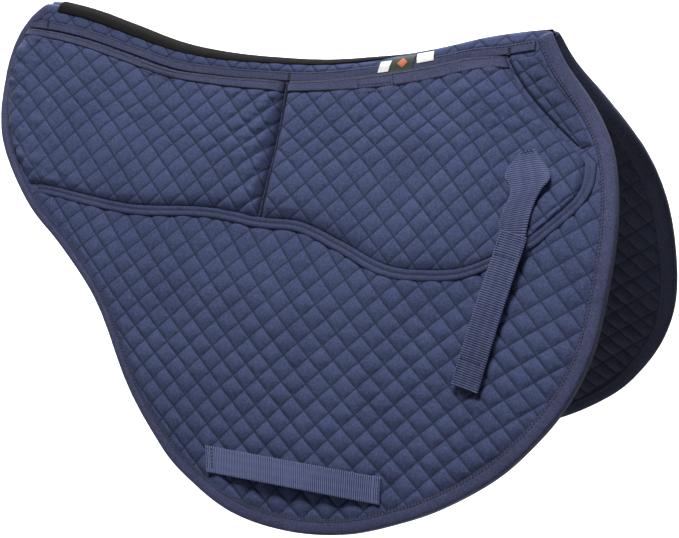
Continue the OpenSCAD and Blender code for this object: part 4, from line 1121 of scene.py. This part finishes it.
def inserts(side, tag):
    for which, T, B in (("rear", [[-352, 20], [-300, 18.5], [-180, 14.5], [-120, 11.5], [-66, 10]], [[-300, 152], [-260, 150], [-190, 134], [-120, 120], [-66, 116]]),
                        ("front", [[-14, 9.5], [30, 7.5], [80, 6], [125, 6], [164, 8]], [[-14, 118], [30, 124], [80, 142], [125, 150], [170, 146]])):
        nu, nv = 110, 60
        u, v = np.meshgrid(np.linspace(0, 1, nu + 1), np.linspace(0, 1, nv + 1), indexing="ij")
        # ease the samples towards the rims, where the foam's edge is rounded
        eu, ev = 0.5 - 0.5 * np.cos(np.pi * u), 0.5 - 0.5 * np.cos(np.pi * v)
        q = (1 - ev)[..., None] * cr(T, eu) + ev[..., None] * cr(B, eu)
        W, H = 290 if which == "rear" else 180, 130
        d = np.minimum(np.minimum(eu, 1 - eu) * W, np.minimum(ev, 1 - ev) * H)
        soft = np.sqrt(np.clip(1 - (1 - np.clip(d / 2.0, 0, 1)) ** 2, 0, 1)) * 0.97 + 0.03
        dim = 0.12 * np.cos(np.pi * q[..., 0] / 6) * np.cos(np.pi * q[..., 1] / 6) * np.clip(d / 6, 0, 1)
        A = slab(q[..., 0], q[..., 1], 2 + 1.95 * soft - np.abs(dim))
        Bk = slab(q[..., 0], q[..., 1], 2 - 1.95 * soft + np.abs(dim))
        o = closed(f"{tag}_{which}_foam_insert", A, Bk, [FOAM], side, {"Cloth": q}, step=1)
        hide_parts(f"{tag}_{which}_insert"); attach(o, f"{tag}_{which}_insert")


def spine():
    BAND = np.array([[-380, 17], [-240, 16], [-150, 13.5], [-60, 11], [0, 9.5], [60, 7.5], [110, 5.2], [260, 5.0]])
    def across(x, q, n):
        p = pt(x, np.abs(q), n)
        p[..., 1] *= np.where(q < 0, 1.0, -1.0)
        return p
    def strip(name, hw, n_in, n_out, mat, K=25, M=330, x0=-352, x1=235, q0=1, q1=-1):
        x, q = np.meshgrid(np.linspace(x0, x1, M), np.linspace(q0, q1, K), indexing="ij")
        w = lk(x, hw)
        soft = np.sqrt(np.clip(1 - np.abs(q) ** 10, 0, 1))
        mid = (n_in + n_out) / 2
        wob = 0.08 * noise(x, q * 9, 12, 2)
        sink = (-2.0 * smooth(40, 100, x) if n_out > 0 else 0.0 * x) - 1.2 * smooth(150, 205, x)
        A = across(x, q * w, mid + (n_out - mid) * (0.4 + 0.6 * soft) + wob * (n_out > 0.5) + sink)
        B = across(x, q * w, mid + (n_in - mid) * (0.4 + 0.6 * soft) + sink * 0.3)
        uv = np.stack([x, q * w], -1)
        return fix_normals(closed(name, A, B, [mat], -1, {"Cloth": uv}, step=1))
    # the band is one tape, built as two halves, one each side of its centre line
    for tag, q0, q1, y in (("right", 0, -1, -0.0095), ("left", 1, 0, 0.0095)):
        o = strip(f"spine_band_woven_{tag}", BAND, 0.35, 1.75, SPINE, K=15, x0=-339, q0=q0, q1=q1)
        if tag == "right":
            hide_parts("spine_band")
        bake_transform(o)
    o = strip("spine_welt", np.array([[-400, 6.4], [400, 6.4]]), -2.6, 0.1, COTTON_FLAT)
    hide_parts("spine_core"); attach(o, "spine")
    o = strip("spine_inner_tape", np.array([[-400, 6.4], [400, 6.4]]), -3.5, -2.75, BIND)
    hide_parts("spine_lining"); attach(o, "spine")
    rr = []
    for sgn in (1, -1):
        x = np.linspace(-337, 233, 420)
        w = lk(x, BAND) - 1.6
        sk = -2.0 * smooth(40, 100, x) - 1.2 * smooth(150, 205, x)
        a, b = across(x, sgn * w, 1.55 + sk), across(x, sgn * w, 2.55 + sk)
        rr.append((a, b - a))
    o = stitches("spine_band_thread", rr, SPINE, -1, 3.4, 2.3, 0.22)
    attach(o, "spine")


def labels():
    def lab(name, x0, x1, s0, s1, n, mat, curl, tilt=0.0):
        nu, nv = 24, 30
        u, v = np.meshgrid(np.linspace(0, 1, nu + 1), np.linspace(0, 1, nv + 1), indexing="ij")
        x = x0 + (x1 - x0) * u + tilt * v
        s = s0 + (s1 - s0) * v
        lift = n + curl * np.sin(np.pi * v) ** 2 + 0.3 * curl * v + 0.08 * noise(x, s, 6, 2)
        A, B = pt(x, s, lift + 0.32), pt(x, s, lift)
        return fix_normals(closed(name, A, B, [mat], -1, {"Cloth": np.stack([x, s], -1)}, step=1))
    a = lab("care_label_satin", 64, 75.6, 11.5, 21.5, 1.12, LABEL_W, 0.2, -2.5)
    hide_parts("care_label"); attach(a, "right_panel")
    a = lab("care_label_satin_front", 102.2, 120, 9.0, 18.0, 1.12, LABEL_W, 0.2, 1.5)
    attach(a, "right_panel")
    a = lab("woven_label_blank", 76, 101.8, 9.0, 23.5, 1.15, LABEL_D, 0.2, -2.5)
    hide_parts("woven_label"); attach(a, "right_panel")
    # a plain diamond, woven in red
    nu = 16
    u, v = np.meshgrid(np.linspace(-1, 1, nu + 1), np.linspace(-1, 1, nu + 1), indexing="ij")
    x = 88.0 + (u + v) * 2.8
    s = 15.4 + (u - v) * 2.2
    vv = (s - 9.0) / 14.5
    lift = 1.15 + 0.2 * np.sin(np.pi * vv) ** 2 + 0.06 * vv + 0.08 * noise(x, s, 6, 2) + 0.33
    o = fix_normals(closed("woven_label_diamond", pt(x, s, lift + 0.09), pt(x, s, lift - 0.05), [LABEL_A], -1, {"Cloth": np.stack([x, s], -1)}, step=1))
    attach(o, "right_panel")


for side, tag in ((-1, "right"), (1, "left")):
    panel(side, tag)
    rows = binding(side, tag)
    pocket(side, tag, "rear")
    pocket(side, tag, "front")
    rows = side_trim(side, tag, rows)
    rows = straps(side, tag, rows)
    o = stitches(f"{tag}_seam_thread", rows, THREAD, side)
    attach(o, f"{tag}_panel")
    inserts(side, tag)
spine()
labels()

# ------------------------------------------------------------------ floor, light, camera
def stage_mat(name, c, rough=0.9):
    m, nt, p = material(name)
    p.inputs["Base Color"].default_value = (*c, 1)
    p.inputs["Roughness"].default_value = rough
    return m


me = bpy.data.meshes.new("floor")
R = 14.0
zf = -2.9
nseg = 24
V, F = [], []
ysteps = [-R, -2.0, 0.0, 2.0, 3.4]
prof = [(-R, zf), (3.6, zf)] + [(3.6 + 1.0 * math.sin(a), zf + 1.0 - 1.0 * math.cos(a)) for a in np.linspace(0.1, math.pi / 2, 12)] + [(4.6, zf + 12)]
ax, ay = -math.sin(math.radians(29.65)), math.cos(math.radians(29.65))
for d, z in prof:
    for w in (-R, R):
        V.append((ax * d + ay * w, ay * d - ax * w, z))
for i in range(len(prof) - 1):
    F.append((2 * i, 2 * i + 1, 2 * i + 3, 2 * i + 2))
me.from_pydata(V, [], F)
me.polygons.foreach_set("use_smooth", [True] * len(F))
me.materials.append(stage_mat("floor_white", (0.92, 0.92, 0.92)))
fl = bpy.data.objects.new("floor", me)
bpy.context.scene.collection.objects.link(fl)

w = bpy.data.worlds.new("studio")
bpy.context.scene.world = w
w.use_nodes = True
w.node_tree.nodes["Background"].inputs[0].default_value = (1, 1, 1, 1)
w.node_tree.nodes["Background"].inputs[1].default_value = 0.20


def area(name, loc, target, size, energy, color=(1, 1, 1)):
    L = bpy.data.lights.new(name, "AREA")
    L.shape = "RECTANGLE"
    L.size, L.size_y = size
    L.energy = energy
    L.color = color
    o = bpy.data.objects.new(name, L)
    o.location = loc
    o.rotation_mode = "QUATERNION"
    o.rotation_quaternion = (Vector(target) - Vector(loc)).to_track_quat("-Z", "Y")
    bpy.context.scene.collection.objects.link(o)


a, e, D = math.radians(29.65), math.radians(10.91), 1.407
r = np.array([math.cos(a), math.sin(a), 0])
d = np.array([-math.sin(a) * math.cos(e), math.cos(a) * math.cos(e), -math.sin(e)])
up = np.array([-math.sin(a) * math.sin(e), math.cos(a) * math.sin(e), math.cos(e)])
C = 0.0095 * r - 0.208 * up - D * d
area("key", (0.06, -0.78, 1.36), (0, -0.1, -0.15), (0.55, 0.55), 40, (1, 0.985, 0.965))
area("back_wall", tuple(d * 1.5 + up * 2.3), tuple(d * 3.9 - up * 1.2), (3, 2), 420)

cam = bpy.data.cameras.new("camera")
cam.sensor_width = 36
cam.lens = 1407 / 679 * 36
co = bpy.data.objects.new("camera", cam)
M = Matrix(((r[0], up[0], -d[0], C[0]), (r[1], up[1], -d[1], C[1]), (r[2], up[2], -d[2], C[2]), (0, 0, 0, 1)))
co.matrix_world = M
bpy.context.scene.collection.objects.link(co)
bpy.context.scene.camera = co
bpy.context.scene.view_settings.view_transform = "Standard"
